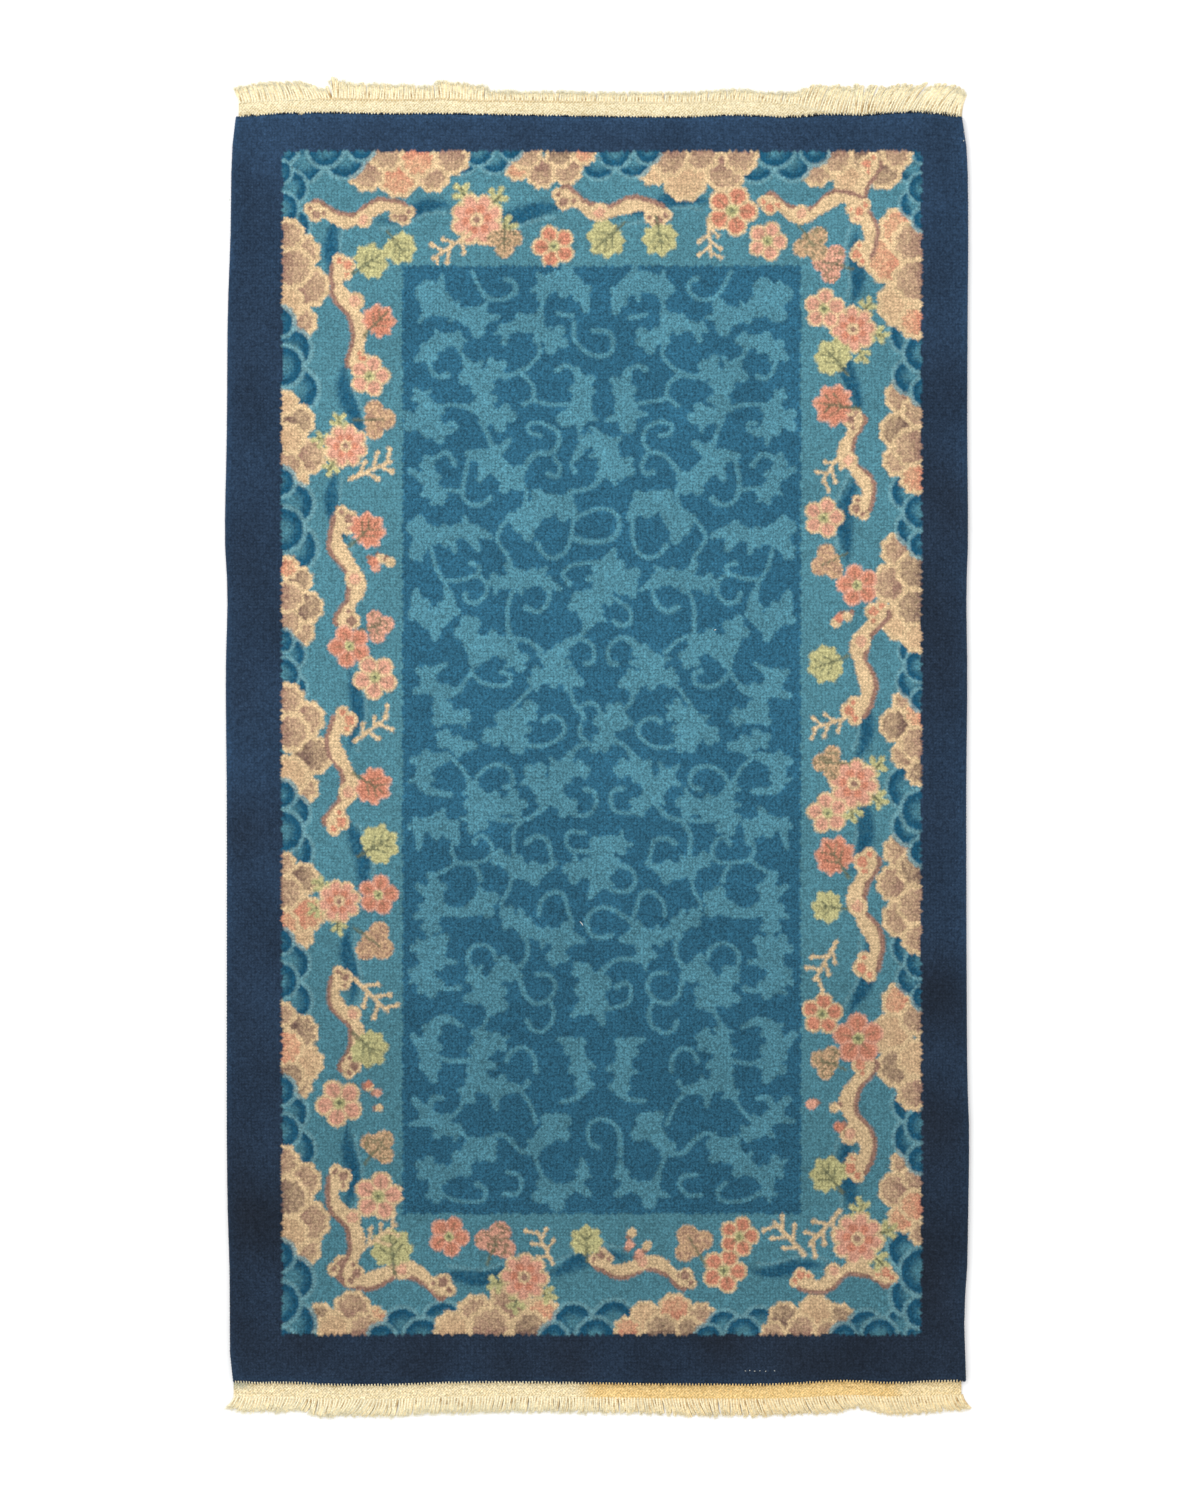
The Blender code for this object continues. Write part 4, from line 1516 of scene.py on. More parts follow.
    def hem(self) -> Cloth:
        """The pile's outer wall: tufts that lean out a little, with notches between them.

        Returns:
            The wall, with the wisps above it.
        """
        rim, out, dye = self.rim()
        count = len(rim)
        middle = (np.arange(count) % 2 == 1)[:, None]
        turned = self.random.uniform(0.6, 1.4, (count, 1))
        points, tones = [rim], [np.ones(count)]
        for valley, crest, z in self.wall_rings:
            ring = rim.copy()
            ring[:, :2] += np.where(middle, crest, valley) * turned * out
            ring[:, 2] = z
            points.append(ring)
            # Painted shade: each ring lower down the wall is coloured darker, towards the floor.
            tones.append(np.full(count, 1.0 - 0.10 * len(tones)))
        here = np.arange(count)
        after = (here + 1) % count
        wall = np.stack([here + count, after + count, after, here], axis=1)
        walls = [wall + k * count for k in range(len(self.wall_rings))]
        spread = [rim[:, :2] + 0.004 * k * out for k in range(len(points))]
        colours = np.concatenate([dye * tone[:, None] for tone in tones])
        cloth = Cloth()
        corner = here[::2]
        lips = np.stack([corner, corner + 1, (corner + 2) % count], axis=1)
        cloth.add(np.concatenate(points), [np.concatenate(walls), lips], colours, np.concatenate(spread))
        self.wisps(cloth)
        return cloth

    def wisps(self, cloth: Cloth) -> None:
        """Adds the dark wool tips that stand out over the cotton at the upper edge.

        Args:
            cloth: What they are added to.
        """
        draw = np.random.default_rng(self.seed + 5)
        count = self.wisp_count
        x = draw.uniform(-0.440, 0.446, count)
        bowed = 32.0 * soft_step(0.335, 0.350, x) * soft_step(0.425, 0.405, x)
        lean = np.radians(draw.normal(0.0, 14.0, count) + bowed)
        reach = draw.uniform(0.0004, 0.0019, count) * (1.0 + 0.8 * soft_step(0.20, 0.26, x))
        share = np.array([0.0, 0.5, 1.0])
        out = -0.0012 + (reach + 0.0012)[:, None] * share
        y = (self.outline.top_y(x) - self.worn(x))[:, None] + out
        along = x[:, None] + out * np.tan(lean)[:, None]
        centre = np.stack([along, y, np.broadcast_to(0.0074 - 0.0022 * share**2, y.shape)], axis=-1)
        aside = np.tile([1.0, 0.0], (count, 3, 1))
        radius = np.tile([0.0008, 0.0007, 0.0004], (count, 1)) * draw.uniform(0.7, 1.2, (count, 1))
        tubes(cloth, centre, aside, radius, np.tile(Dye.NAVY_DARK.linear * 0.75, (count, 1)))

    def dress(self) -> list[Object]:
        """Makes the three zones of the pile and its wall.

        Returns:
            The field, the border, the outer band and the wall under it.
        """
        plan = self.plan
        field, border = plan.field_span(), plan.border_span()
        whole = (0, plan.columns, 0, plan.rows)
        field_wool, border_wool = WoolFinish("field_wool", fleck=0.42), WoolFinish("border_wool", fleck=0.33)
        band_wool = WoolFinish("band_wool", fleck=0.33, cloud=0.12)
        return [
            self.zone(field).make("field_pile", field_wool.material()),
            self.zone(border, field).make("border_pile", border_wool.material()),
            self.zone(whole, border).make("band_pile", band_wool.material()),
            self.hem().make("pile_wall", WoolFinish("wall_wool").material()),
        ]


@dataclass
class Foundation:
    """The cotton foundation that the knots are tied on, seen from below and at the rug's edge."""

    pile: KnottedPile
    level: float = 0.0002
    top: float = 0.0034
    side_inset: float = 0.0008
    end_inset: float = 0.0030
    step: int = 2
    cotton: tuple = (0.50, 0.40, 0.26)

    def dress(self) -> Object:
        """Makes the back with its upright edge.

        Returns:
            The back.
        """
        plan, pile = self.pile.plan, self.pile
        across = np.append(np.arange(0, plan.columns, self.step), plan.columns)
        along = np.append(np.arange(0, plan.rows, self.step), plan.rows)
        columns, rows = np.meshgrid(across, along)
        x, y = pile.plan_place(columns.astype(float), rows.astype(float))
        x += self.side_inset * ((columns == 0) * 1.0 - (columns == plan.columns))
        y += self.end_inset * ((rows == 0) * 1.0 - (rows == plan.rows))
        # The back takes the pile's corner colours, which carry the painted shade of its grooves.
        dye = pile.corner_dye_in_painted_shade[rows, columns].reshape(-1, 3)
        points = np.stack([x, y, np.full(x.shape, self.level)], axis=-1).reshape(-1, 3)
        high, wide = columns.shape
        number = np.arange(high * wide).reshape(high, wide)
        faces = np.stack([number[:-1, :-1], number[1:, :-1], number[1:, 1:], number[:-1, 1:]], axis=-1)
        rim = np.concatenate([number[0, :-1], number[:-1, -1], number[-1, :0:-1], number[:0:-1, 0]])
        low = points[rim]
        raised = low + np.array([0.0, 0.0, self.top - self.level])
        count = len(rim)
        above = len(points) + np.arange(count)
        wall = np.stack([rim, np.roll(rim, -1), np.roll(above, -1), above], axis=1)
        out = low[:, :2] * (1.0 + 0.004 / np.abs(low[:, :2]).max(axis=1, keepdims=True))
        cloth = Cloth()
        cloth.add(
            np.concatenate([points, raised]),
            [faces.reshape(-1, 4), wall],
            np.concatenate([dye, np.tile(self.cotton, (count, 1))]),
            np.concatenate([points[:, :2], out]),
        )
        return cloth.make("foundation_back", FoundationFinish("woven_back", plan.pitch[1]).material())


@dataclass
class Selvage:
    """The overcast cord along one long edge, wrapped with navy yarn under the pile."""

    pile: KnottedPile
    side: int
    radius: float = 0.0019
    wrap: float = 0.0021
    relief: float = 0.00022
    sides: int = 7

    def dress(self) -> Object:
        """Makes the wrapped cord.

        Returns:
            The cord.
        """
        plan, pile = self.pile.plan, self.pile
        low, high = plan.row_y(0) + 0.002, plan.row_y(plan.rows) - 0.002
        rings = int((high - low) / (self.wrap / 2))
        y = np.linspace(low, high, rings)
        edge = pile.outline.left_x(y) if self.side < 0 else pile.outline.right_x(y)
        x = edge - self.side * (self.radius + 0.0002)
        angle = np.linspace(0.0, math.tau, self.sides, endpoint=False)
        phase = math.tau * y[:, None] / self.wrap + angle[None, :]
        radius = self.radius + self.relief * np.cos(phase)
        aside = x[:, None] + radius * np.cos(angle)
        rise = self.radius + 0.0003 + radius * np.sin(angle)
        points = np.stack(np.broadcast_arrays(aside, y[:, None], rise), axis=-1).reshape(-1, 3)
        number = np.arange(rings * self.sides).reshape(rings, self.sides)
        after = np.roll(number, -1, axis=1)
        faces = np.stack([number[:-1], after[:-1], after[1:], number[1:]], axis=-1).reshape(-1, 4)
        column = 0 if self.side < 0 else plan.columns - 1
        row = np.clip(((y - plan.row_y(0)) / plan.pitch[1]).astype(int), 0, plan.rows - 1)
        dye = np.repeat(pile.crown_dye[row, column], self.sides, axis=0)
        # Painted shade: the cord is coloured darker in the grooves between its wraps.
        groove = 0.82 + 0.18 * np.cos(phase).ravel()
        unrolled = np.stack(np.broadcast_arrays(angle * self.radius, y[:, None]), axis=-1).reshape(-1, 2)
        cloth = Cloth()
        cloth.add(points, [faces[:, ::-1], number[:1], number[-1:, ::-1]], dye * groove[:, None], unrolled)
        name = "selvage_left" if self.side < 0 else "selvage_right"
        return cloth.make(name, WoolFinish(name + "_wool", fleck=0.10).material())


@dataclass
class LooseThreads:
    """The few pale threads caught in the pile: x, y, length in mm, turn and half thickness in mm."""

    pile: KnottedPile
    pale: tuple = (0.70, 0.72, 0.68)

    threads: ClassVar[tuple] = (
        (-0.0192, -0.2165, 6.0, -52, 0.5),
        (0.1458, 0.1457, 2.4, 20, 0.5),
        (-0.4535, 0.6760, 3.2, 80, 0.4),
        (0.1830, -0.7684, 1.4, 10, 0.4),
        (0.1885, -0.7679, 1.2, 60, 0.4),
        (0.1945, -0.7686, 1.6, 0, 0.4),
        (0.2010, -0.7681, 1.2, 90, 0.4),
        (0.2080, -0.7688, 1.5, 30, 0.4),
        (0.2190, -0.7683, 1.3, 0, 0.4),
        (0.4522, 0.7690, 1.6, 90, 0.5),
        (0.4527, 0.7600, 1.4, 70, 0.5),
        (0.4524, 0.7490, 1.5, 90, 0.5),
    )

    def dress(self) -> Object:
        """Makes the threads, each a short bent tube.

        Returns:
            The threads.
        """
        cloth = Cloth()
        share = np.linspace(-0.5, 0.5, 9)[:, None]
        for x, y, length, turn, thick in self.threads:
            way = np.array([math.cos(math.radians(turn)), math.sin(math.radians(turn))])
            aside = np.array([-way[1], way[0]])
            middle = np.array([x, y]) + 0.001 * length * (share * way - 0.4 * (share**2 - 0.125) * aside)
            level = np.full((9, 1), self.pile.foundation + self.pile.height)
            centre = np.concatenate([middle, level], axis=1)[None]
            radius = 0.001 * thick * (1.0 - 3.0 * share.T**4 * 2.5)
            tubes(cloth, centre, across(middle[None]), radius, np.array([self.pale]))
        return cloth.make("loose_threads", CottonFinish("loose_thread_cotton").material())


@dataclass(frozen=True)
class FringeSection:
    """At one place across the rug: the band's depth and the strands' length in mm, and their lean."""

    x: float
    weave: float
    length: float
    lean: float


TOP_SECTIONS = tuple(FringeSection(*row) for row in (
    (-0.443, 18.0, 18.0, -22),
    (-0.412, 17.8, 21.5, -25),
    (-0.366, 17.8, 24.5, -28),
    (-0.342, 17.8, 22.5, -38),
    (-0.331, 17.8, 10.5, -30),
    (-0.324, 17.8, 26.0, -5),
    (-0.312, 18.0, 19.5, 0),
    (-0.243, 18.0, 18.0, 2),
    (-0.206, 17.8, 15.0, 0),
    (-0.194, 19.2, 21.0, 0),
    (-0.160, 17.8, 20.0, 3),
    (-0.143, 17.8, 18.5, 4),
    (-0.132, 17.8, 10.5, 0),
    (0.030, 19.0, 10.0, 6),
    (0.115, 19.0, 10.8, 8),
    (0.170, 19.6, 12.0, 12),
    (0.203, 19.0, 10.0, 16),
    (0.243, 18.5, 12.5, 18),
    (0.262, 12.0, 31.0, 22),
    (0.282, 4.0, 37.0, 25),
    (0.300, 2.5, 37.0, 22),
    (0.318, 2.5, 36.0, 10),
    (0.332, 2.5, 35.0, 18),
    (0.345, 2.5, 37.5, 29),
    (0.370, 2.5, 39.5, 34),
    (0.392, 2.5, 40.5, 37),
    (0.425, 2.5, 39.0, 39),
    (0.438, 2.5, 33.0, 26),
    (0.452, 2.5, 28.0, 9),
))
BOTTOM_SECTIONS = tuple(FringeSection(*row) for row in (
    (-0.449, 18.8, 18.2, -42),
    (-0.435, 18.8, 18.0, -27),
    (-0.405, 19.0, 18.0, -19),
    (-0.377, 19.2, 20.5, -34),
    (-0.360, 19.0, 16.0, -26),
    (-0.338, 19.0, 20.5, -12),
    (-0.311, 19.0, 23.5, -34),
    (-0.285, 19.0, 24.5, -43),
    (-0.250, 19.0, 19.5, -10),
    (-0.145, 19.0, 18.2, -12),
    (-0.008, 18.8, 16.8, -3),
    (0.055, 18.8, 17.5, 10),
    (0.125, 19.0, 22.5, 27),
    (0.160, 19.0, 17.8, 4),
    (0.188, 18.8, 21.2, 20),
    (0.288, 19.8, 21.5, 36),
    (0.311, 19.2, 16.5, 38),
    (0.334, 18.8, 23.5, 34),
    (0.368, 18.5, 23.8, 26),
    (0.415, 19.0, 20.0, 24),
    (0.452, 19.2, 19.5, 36),
))


class End(Enum):
    """The rug's two ends: the name, the sign along Y, the band's two sides and its sections."""

    TOP = ("top", 1, -0.4426, 0.4488, TOP_SECTIONS)
    BOTTOM = ("bottom", -1, -0.4488, 0.4500, BOTTOM_SECTIONS)

    @property
    def label(self) -> str:
        """The end's name."""
        return self.value[0]

    @property
    def sign(self) -> int:
        """Its sign along Y."""
        return self.value[1]

    @property
    def span(self) -> tuple[float, float]:
        """Where its woven band starts and stops across the rug."""
        return self.value[2], self.value[3]

    def read(self, x: Array, column: str) -> Array:
        """The sections' value of a name, at places across the rug."""
        sections = self.value[4]
        return np.interp(x, [part.x for part in sections], [getattr(part, column) for part in sections])

    def cotton(self, x: Array) -> Array:
        """The band's colour across the rug: yellower to the right of the lower end, where it is stained.

        Args:
            x: Places across, in metres.

        Returns:
            One colour for each place.
        """
        clean = np.array([0.962, 0.890, 0.650])
        if self is End.TOP:
            return np.tile(clean, (len(x), 1))
        aged = np.array([0.995, 0.897, 0.632])
        stained = np.array([0.957, 0.712, 0.332])
        share = soft_step(-0.030, 0.000, x) * (1.0 - 0.62 * soft_step(0.36, 0.385, x))
        return aged + (stained - aged) * share[:, None] * 0.95

    def seam(self, x: Array) -> Array:
        """How strongly a painted brown shadow line shows where the fringe leaves the band, between 0 and 1.

        Args:
            x: Places across, in metres.

        Returns:
            One share for each place.
        """
        if self is End.BOTTOM:
            return np.zeros(len(x))
        fading = 1.0 - 0.55 * soft_step(-0.05, 0.05, x)
        return soft_step(-0.36, -0.33, x) * fading * (1.0 - soft_step(0.20, 0.24, x))

    def yarn(self, x: Array) -> Array:
        """The fringe's colour across the rug, cleaner than the band's.

        Args:
            x: Places across, in metres.

        Returns:
            One colour for each place.
        """
        clean = np.array([0.985, 0.925, 0.690])
        if self is End.TOP:
            return np.tile(clean, (len(x), 1))
        aged = np.array([0.975, 0.865, 0.590])
        return clean + (aged - clean) * soft_step(-0.10, 0.20, x)[:, None]


@dataclass
class WovenEnd:
    """The flat-woven cotton band at one end."""

    end: End
    pile: KnottedPile
    length: float = 0.0196
    deepest: float = 0.0200
    warp: float = 0.00190
    weft: float = 0.00190
    base: float = 0.0021
    relief: float = 0.00070
    # The colour that the weave's hollows are painted as shade.
    pit_painted_shade: tuple = (0.55, 0.43, 0.24)
    bleed: tuple = (0.62, 0.72, 0.82)
    tuck: float = 0.0034
    loop_foot: float = 0.0026
    floor: float = 0.0004

    def edge(self, x: Array) -> Array:
        """Y of the pile's edge at this end."""
        return self.pile.outline.top_y(x) if self.end.sign > 0 else self.pile.outline.bottom_y(x)

    def depth(self, x: Array) -> Array:
        """How far the woven band reaches out from the pile, in metres."""
        return self.end.read(x, "weave") * 0.001

    def loops(self, cloth: Cloth) -> None:
        """Adds the cotton loops that show between the pile's outermost knots.

        Args:
            cloth: What they are added to.
        """
        corners = self.pile.corners[-1 if self.end.sign > 0 else 0, 1:-1]
        left, right = self.end.span
        corners = corners[(corners[:, 0] > left + 0.002) & (corners[:, 0] < right - 0.002)]
        count = len(corners)
        draw = np.random.default_rng(29 + self.end.sign)
        top = self.end is End.TOP
        out = np.array([self.loop_foot, *((0.0018, 0.0012, 0.0006) if top else (0.0012, 0.0002, -0.0009))])
        out = out + draw.uniform(-0.0003, 0.0003, (count, 1))
        x = np.tile(corners[:, :1], (1, 4))
        y = corners[:, 1:2] + self.end.sign * out
        rise = np.array([0.0020, *((0.0044, 0.0056, 0.0060) if top else (0.0052, 0.0074, 0.0080))])
        rise = rise + draw.uniform(-0.0006, 0.0006, (count, 1))
        radius = np.tile([0.0008, 0.0010, 0.0010, 0.0007], (count, 1)) * draw.uniform(0.75, 1.15, (count, 1))
        aside = np.tile([1.0, 0.0], (count, 4, 1))
        tubes(cloth, np.stack([x, y, rise], axis=-1), aside, radius, self.end.cotton(corners[:, 0]))

    def area(self) -> float:
        """The band's flat area in square metres."""
        x = np.linspace(*self.end.span, 400)
        return float(np.mean(self.depth(x)) * (x[-1] - x[0]))

    def dress(self) -> Object:
        """Makes the band: weft over warp and under it by turns, with its upright outer edge.

        Returns:
            The band.
        """
        left, right = self.end.span
        way = self.end.sign
        count = int((right - left) / (self.warp / 2))
        rows = int(self.deepest / (self.weft / 2)) + 1
        x = np.linspace(left, right, count + 1)
        depth = self.depth(x)
        steps = np.arange(rows + 1) * (self.weft / 2)
        out = np.minimum(steps[:, None], depth[None, :]) - self.tuck * (steps[:, None] == 0)
        column, row = np.meshgrid(np.arange(count + 1), np.arange(rows + 1))
        over = (column % 2 == 1) & (row % 2 == 1)
        sign = np.where((column // 2 + row // 2) % 2 == 0, 1.0, -0.55)
        shake = np.random.default_rng(17 + way).uniform(-1.0, 1.0, (3, rows + 1, count + 1))
        z = self.base + self.relief * (sign * over - 0.25 * ~over) + 0.00010 * shake[2]
        y = self.edge(x)[None, :] + way * (out + 0.00010 * shake[0])
        across = np.broadcast_to(x, y.shape) + 0.00012 * shake[1]
        points = np.stack([across, y, z], axis=-1)
        # Painted shade and light: the weave's low places are darkened towards the pit colour, and its raised
        # ones are kept lit.
        lit = np.clip((z - self.base) / self.relief + 0.80 + 0.32 * shake[2], 0.0, 1.0)
        pit_painted_shade = np.array(self.pit_painted_shade)
        colours = self.end.cotton(x)[None, :, :] * (pit_painted_shade + (1.0 - pit_painted_shade) * lit[..., None])
        if self.end is End.BOTTOM:
            bled = (1.0 - soft_step(0.004, 0.030, x - left)) * (1.0 - soft_step(0.002, 0.013, steps[:, None]))
            colours = colours * (1.0 - bled[..., None] * (1.0 - np.array(self.bleed)))
        number = np.arange((rows + 1) * (count + 1)).reshape(rows + 1, count + 1)
        faces = np.stack([number[:-1, :-1], number[:-1, 1:], number[1:, 1:], number[1:, :-1]], axis=-1)
        kept = (out[1:, :-1] - out[:-1, :-1] > 1e-5) | (out[1:, 1:] - out[:-1, 1:] > 1e-5)
        faces = faces[kept]
        if way < 0:
            faces = faces[:, ::-1]
        cloth = Cloth()
        cloth.add(points.reshape(-1, 3), [faces], colours.reshape(-1, 3))
        rim_y = self.edge(x) + way * depth
        low = np.stack([x, rim_y + way * 0.0003, np.full(len(x), self.floor)], axis=1)
        high = np.stack([x, rim_y, np.full(len(x), self.base - 0.0002)], axis=1)
        here = np.arange(count)
        wall = np.stack([here, here + 1, here + count + 2, here + count + 1], axis=1)
        if way > 0:
            wall = wall[:, ::-1]
        spread = np.concatenate([low[:, :2] + np.array([0.0, way * 0.003]), high[:, :2]])
        # Painted shade: the band's upright outer edge is coloured darker than its top.
        shade = self.end.cotton(x) * 0.75
        cloth.add(np.concatenate([low, high]), [wall], np.concatenate([shade, shade]), spread)
        self.loops(cloth)
        name = f"woven_end_{self.end.label}"
        mottle = 0.12 if self.end is End.TOP else 0.24
        return cloth.make(name, CottonFinish(name + "_cotton", mottle=mottle).material())


@dataclass
class Fringe:
    """The cut warp ends at one end of the rug: two-ply cotton yarns, one for each pair of warps."""

    band: WovenEnd
    pitch: float = 0.00381
    ply: float = 0.00090
    twist: float = 0.0062
    rings: int = 17
    root: float = 0.0020
    # The tint of the painted shadow line where the yarns leave the band.
    join: tuple = (0.72, 0.58, 0.40)
    bow: float = 0.10
    hairs: int = 22
    hair_length: float = 0.0066
    under_width: float = 0.0021
    flat: float = 0.42
    # gap_shade and under_shade are painted shade on the under-yarns.
    gap_shade: tuple = (0.42, 0.27, 0.13)
    under_shade: tuple = (1.0, 0.92, 0.80)
    lock_break: float = 0.38
    raised: float = 0.22
    crimp: float = 0.00045
    crimp_pitch: float = 0.0055
    seed: int = 23

    def __post_init__(self) -> None:
        """Starts the piece with nothing in it."""
        self.cloth = Cloth()

    def lines(self, upper: bool) -> tuple[Array, Array]:
        """The centre lines of one yarn for each pair of warps.

        Args:
            upper: Whether they are the upper yarns. The others lie under them, between two of them.

        Returns:
            The points of each yarn on the floor, and how loose each yarn is.
        """
        offset, cling = (0.5, 0.10) if upper else (1.0, 0.04)
        end = self.band.end
        left, right = end.span
        count = int((right - left) / self.pitch)
        draw = np.random.default_rng(self.seed + end.sign)
        step = (right - left) / count
        x = left + (np.arange(count) + offset) * step
        length = end.read(x, "length") * 0.001 * (1.0 + draw.uniform(-0.12, 0.07, count))
        lean = np.radians(end.read(x, "lean")) + draw.uniform(-0.0016, 0.0016, count) / length
        root_y = self.band.edge(x) + end.sign * self.band.depth(x)
        tip_x, tip_y = x + length * np.sin(lean), root_y + end.sign * length * np.cos(lean)
        lock = np.cumsum(draw.random(count) < self.lock_break)
        centre = np.array([tip_x[lock == k].mean() for k in lock])
        tip_x += cling * (centre - tip_x)
        mid_x = (x + tip_x) / 2 - self.bow * (tip_x - x) + draw.uniform(-0.0010, 0.0010, count)
        mid_y = (root_y + tip_y) / 2
        start_y = root_y - end.sign * self.root
        t = np.linspace(0.0, 1.0, self.rings)[None, :]

        def bend(start: Array, middle: Array, tip: Array) -> Array:
            """A smooth curve through three values for each yarn."""
            pull = (2 * middle - (start + tip) / 2)[:, None]
            return (1 - t) ** 2 * start[:, None] + 2 * t * (1 - t) * pull + t * t * tip[:, None]

        loose = soft_step(16.0, 8.0, end.read(x, "weave"))
        return np.stack([bend(x, mid_x, tip_x), bend(start_y, mid_y, tip_y)], axis=-1), loose

    def plies(self) -> None:
        """Adds every upper yarn as two plies that open at the cut tip, darkened by a painted brown shadow
        line where they leave the band.
        """
        lines, loose = self.lines(True)
        count = len(lines)
        end = self.band.end
        draw = np.random.default_rng(self.seed * 3 + end.sign)
        share = np.linspace(0.0, 1.0, self.rings)[None, :]
        step = np.diff(lines, axis=1)
        run = np.cumsum(np.hypot(step[..., 0], step[..., 1]), axis=1)
        run = np.concatenate([np.zeros((count, 1)), run], axis=1)
        aside = across(lines)
        turns = math.tau * run / self.crimp_pitch + draw.uniform(0, 6, (count, 1))
        crimp = self.crimp * loose[:, None] * np.sin(turns)
        thin = 1.0 - 0.25 * share**2
        opening = 1.0 + 0.75 * soft_step(0.80, 1.0, share) * draw.uniform(0.3, 1.3, (count, 1))
        twist = self.twist * draw.uniform(0.85, 1.2, (count, 1))
        raised = draw.random((count, 1)) < self.raised
        start = draw.uniform(0, 6, (count, 1))
        dye = end.yarn(lines[:, 0, 0]) * draw.uniform(0.94, 1.05, (count, 1))
        # Painted shadow: the yarns are browned along the line where they leave the band.
        near = 1.0 - soft_step(0.0004, 0.0024, np.abs(run - 0.0009))
        seam = (end.seam(lines[:, 0, 0])[:, None] * near)[..., None]
        dye = dye[:, None, :] * (1.0 - seam * (1.0 - np.array(self.join)))
        for number in range(2):
            phase = math.tau * run / twist + math.pi * number + start
            reach = 0.64 * self.ply * thin * opening
            radius = self.ply * thin * draw.uniform(0.92, 1.06, (count, 1))
            radius[:, -1] *= 0.5
            away = reach * np.cos(phase) + crimp
            lift = 0.0019 - 0.0006 * share + 0.0009 * raised * np.exp(-14.0 * (share - 0.5) ** 2)
            height = np.maximum(lift + 0.75 * reach * np.sin(phase), radius + 0.0002)
            centre = np.concatenate([lines + away[..., None] * aside, height[..., None]], axis=-1)
            tubes(self.cloth, centre, aside, radius, dye, shade=0.26)

    def under_yarns(self) -> None:
        """Adds the yarns under the others, painted brown as shadow in stretches between the upper yarns, a
        little darker as shade near their roots, and pale at their tips.
        """
        lines, _ = self.lines(False)
        lines = lines[:, ::2]
        draw = np.random.default_rng(self.seed * 5 + self.band.end.sign)
        count, rings = lines.shape[:2]
        share = np.linspace(0.0, 1.0, rings)
        radius = np.tile(self.under_width * (1.0 - 0.30 * share**4), (count, 1))
        centre = np.concatenate([lines, self.flat * radius[..., None] + 0.0002], axis=-1)
        middle, reach = draw.uniform(0.10, 0.60, (2, count, 1))
        # Painted shadow: stretches of each under-yarn are browned where they show in the gaps between the
        # upper yarns, and the half near the root is darkened as shade.
        depth = draw.uniform(0.0, 1.0, (count, 1)) ** 1.1
        dark = depth * (1.0 - soft_step(0.0, 0.12 + 0.5 * reach, np.abs(share[None, :] - middle)))
        pale = 1.0 - (0.22 * (share[None, :] < 0.5) + 0.78 * dark)[..., None]
        shade = np.array(self.gap_shade) * (1.0 - pale) + np.array(self.under_shade) * pale
        dye = self.band.end.yarn(lines[:, 0, 0])[:, None, :] * shade
        tubes(self.cloth, centre, across(lines), radius, dye, squash=self.flat)

    def frayed_tips(self) -> None:
        """Adds the loose fibres at the yarns' cut ends."""
        lines, _ = self.lines(True)
        draw = np.random.default_rng(self.seed * 7 + self.band.end.sign)
        chosen = self.rings - 3 - draw.integers(0, 8, (len(lines), self.hairs)) * (np.arange(self.hairs) % 2)
        feet = np.take_along_axis(lines, chosen[..., None], axis=1).reshape(-1, 2)
        way = np.take_along_axis(lines, chosen[..., None] + 2, axis=1).reshape(-1, 2) - feet
        angle = np.arctan2(way[:, 1], way[:, 0]) + draw.normal(0.0, 0.40, len(feet))
        length = self.hair_length * draw.uniform(0.35, 1.0, len(feet))
        foot = feet + draw.uniform(-0.0010, 0.0010, (len(feet), 2))
        share = np.array([0.0, 0.5, 1.0])
        bent = angle[:, None] + draw.normal(0.0, 0.35, (len(feet), 1)) * share
        reach = length[:, None] * share
        line = foot[:, None, :] + reach[..., None] * np.stack([np.cos(bent), np.sin(bent)], axis=-1)
        low = draw.uniform(0.0004, 0.0034, (len(feet), 1))
        height = low + 0.0008 * draw.uniform(-0.3, 1.0, (len(feet), 1)) * share
        radius = np.repeat([[0.00032, 0.00026, 0.00010]], len(feet), axis=0)
        centre = np.concatenate([line, np.maximum(height, 0.0004)[..., None]], axis=-1)
        dye = self.band.end.yarn(feet[:, 0])
        tubes(self.cloth, centre, across(line), radius, dye, sides=3, shade=0.04)

    def dress(self) -> Object:
        """Makes the fringe of one end.

        Returns:
            The fringe.
        """
        self.plies()
        self.under_yarns()
        self.frayed_tips()
        name = f"fringe_{self.band.end.label}"
        return self.cloth.make(name, CottonFinish(name + "_cotton", thread=0.0006).material())


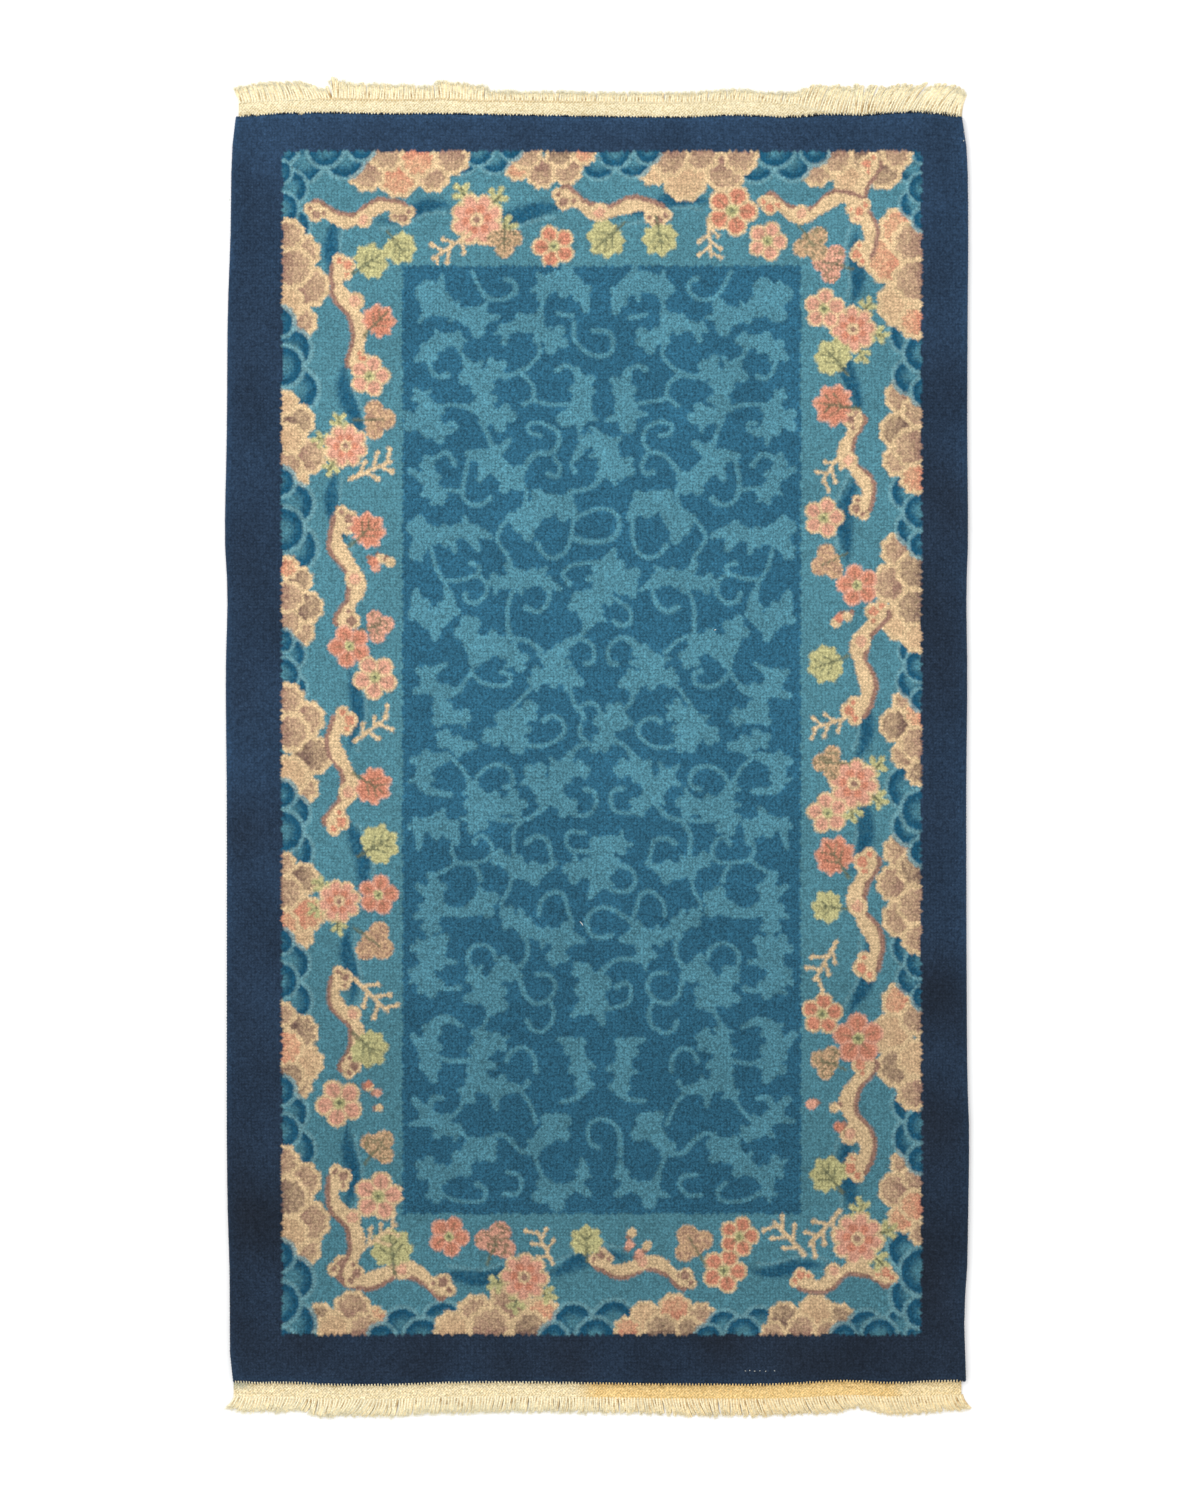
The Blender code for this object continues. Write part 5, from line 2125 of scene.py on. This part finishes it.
@dataclass
class Studio:
    """The floor, the soft light and the camera straight above the rug."""

    middle_y: float = 0.0018
    view_height: float = 1.8445
    lens: float = 135.0
    sensor: float = 36.0
    sky: float = 1.10
    key_power: float = 60.0
    key_size: float = 2.4
    key_place: tuple = (-1.9, 2.1, 3.1)
    floor_size: float = 60.0

    def floor(self) -> None:
        """Lays the plain pale floor."""
        half = self.floor_size / 2
        mesh = bpy.data.meshes.new("floor")
        corners = [(-half, -half, 0), (half, -half, 0), (half, half, 0), (-half, half, 0)]
        mesh.from_pydata(corners, [], [(0, 1, 2, 3)])
        mesh.materials.append(FloorFinish().material())
        floor = bpy.data.objects.new("floor", mesh)
        bpy.context.scene.collection.objects.link(floor)

    def lights(self) -> None:
        """Sets a bright even sky and one broad soft lamp high to the upper left."""
        world = bpy.data.worlds.new("studio")
        world.use_nodes = True
        sky = world.node_tree.nodes["Background"].inputs
        sky["Color"].default_value = (1.0, 1.0, 1.0, 1.0)
        sky["Strength"].default_value = self.sky
        bpy.context.scene.world = world
        lamp = bpy.data.lights.new("key", "AREA")
        lamp.shape = "RECTANGLE"
        lamp.size, lamp.size_y = self.key_size, self.key_size
        lamp.energy = self.key_power
        key = bpy.data.objects.new("key", lamp)
        key.location = self.key_place
        key.rotation_euler = (-key.location).to_track_quat("-Z", "Y").to_euler()
        bpy.context.scene.collection.objects.link(key)

    def camera(self) -> None:
        """Hangs the camera over the rug's middle, looking straight down."""
        data = bpy.data.cameras.new("camera")
        data.lens = self.lens
        data.sensor_width = self.sensor
        camera = bpy.data.objects.new("camera", data)
        distance = self.view_height * self.lens / self.sensor
        camera.location = (0.0, self.middle_y, distance)
        bpy.context.scene.collection.objects.link(camera)
        bpy.context.scene.camera = camera

    def set_up(self) -> None:
        """Makes the whole studio."""
        self.floor()
        self.lights()
        self.camera()
        bpy.context.scene.view_settings.view_transform = "Standard"


def place(piece: Object, slot: str) -> Object:
    """Lets a piece ride with the rug.

    Args:
        piece: The piece.
        slot: Not used.

    Returns:
        The piece.
    """
    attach(piece, "root")
    faces = piece.data.polygons
    log.info("%s: %d points, %d faces", piece.name, len(piece.data.vertices), len(faces))
    return piece


def main() -> None:
    """Builds the rug's pieces in order and sets up the studio."""
    logging.basicConfig(level=logging.INFO, format="%(message)s")
    Studio().set_up()
    plan = Plan()
    pile = KnottedPile(plan, Outline.of_node("pile_rug", plan))
    wool = [place(piece, "wool_pile") for piece in pile.dress()]
    wool += [place(Selvage(pile, side).dress(), "wool_pile") for side in (-1, 1)]
    wool.append(place(LooseThreads(pile).dress(), "cotton_warp"))
    back = place(Foundation(pile).dress(), "wool_pile")
    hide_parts("pile_rug")
    for end in End:
        band = WovenEnd(end, pile)
        woven = place(band.dress(), "cotton_warp")
        fringe = place(Fringe(band).dress(), "cotton_warp")
        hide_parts(f"end_weave_{end.label}")
        band.area()


if __name__ == "__main__":
    main()
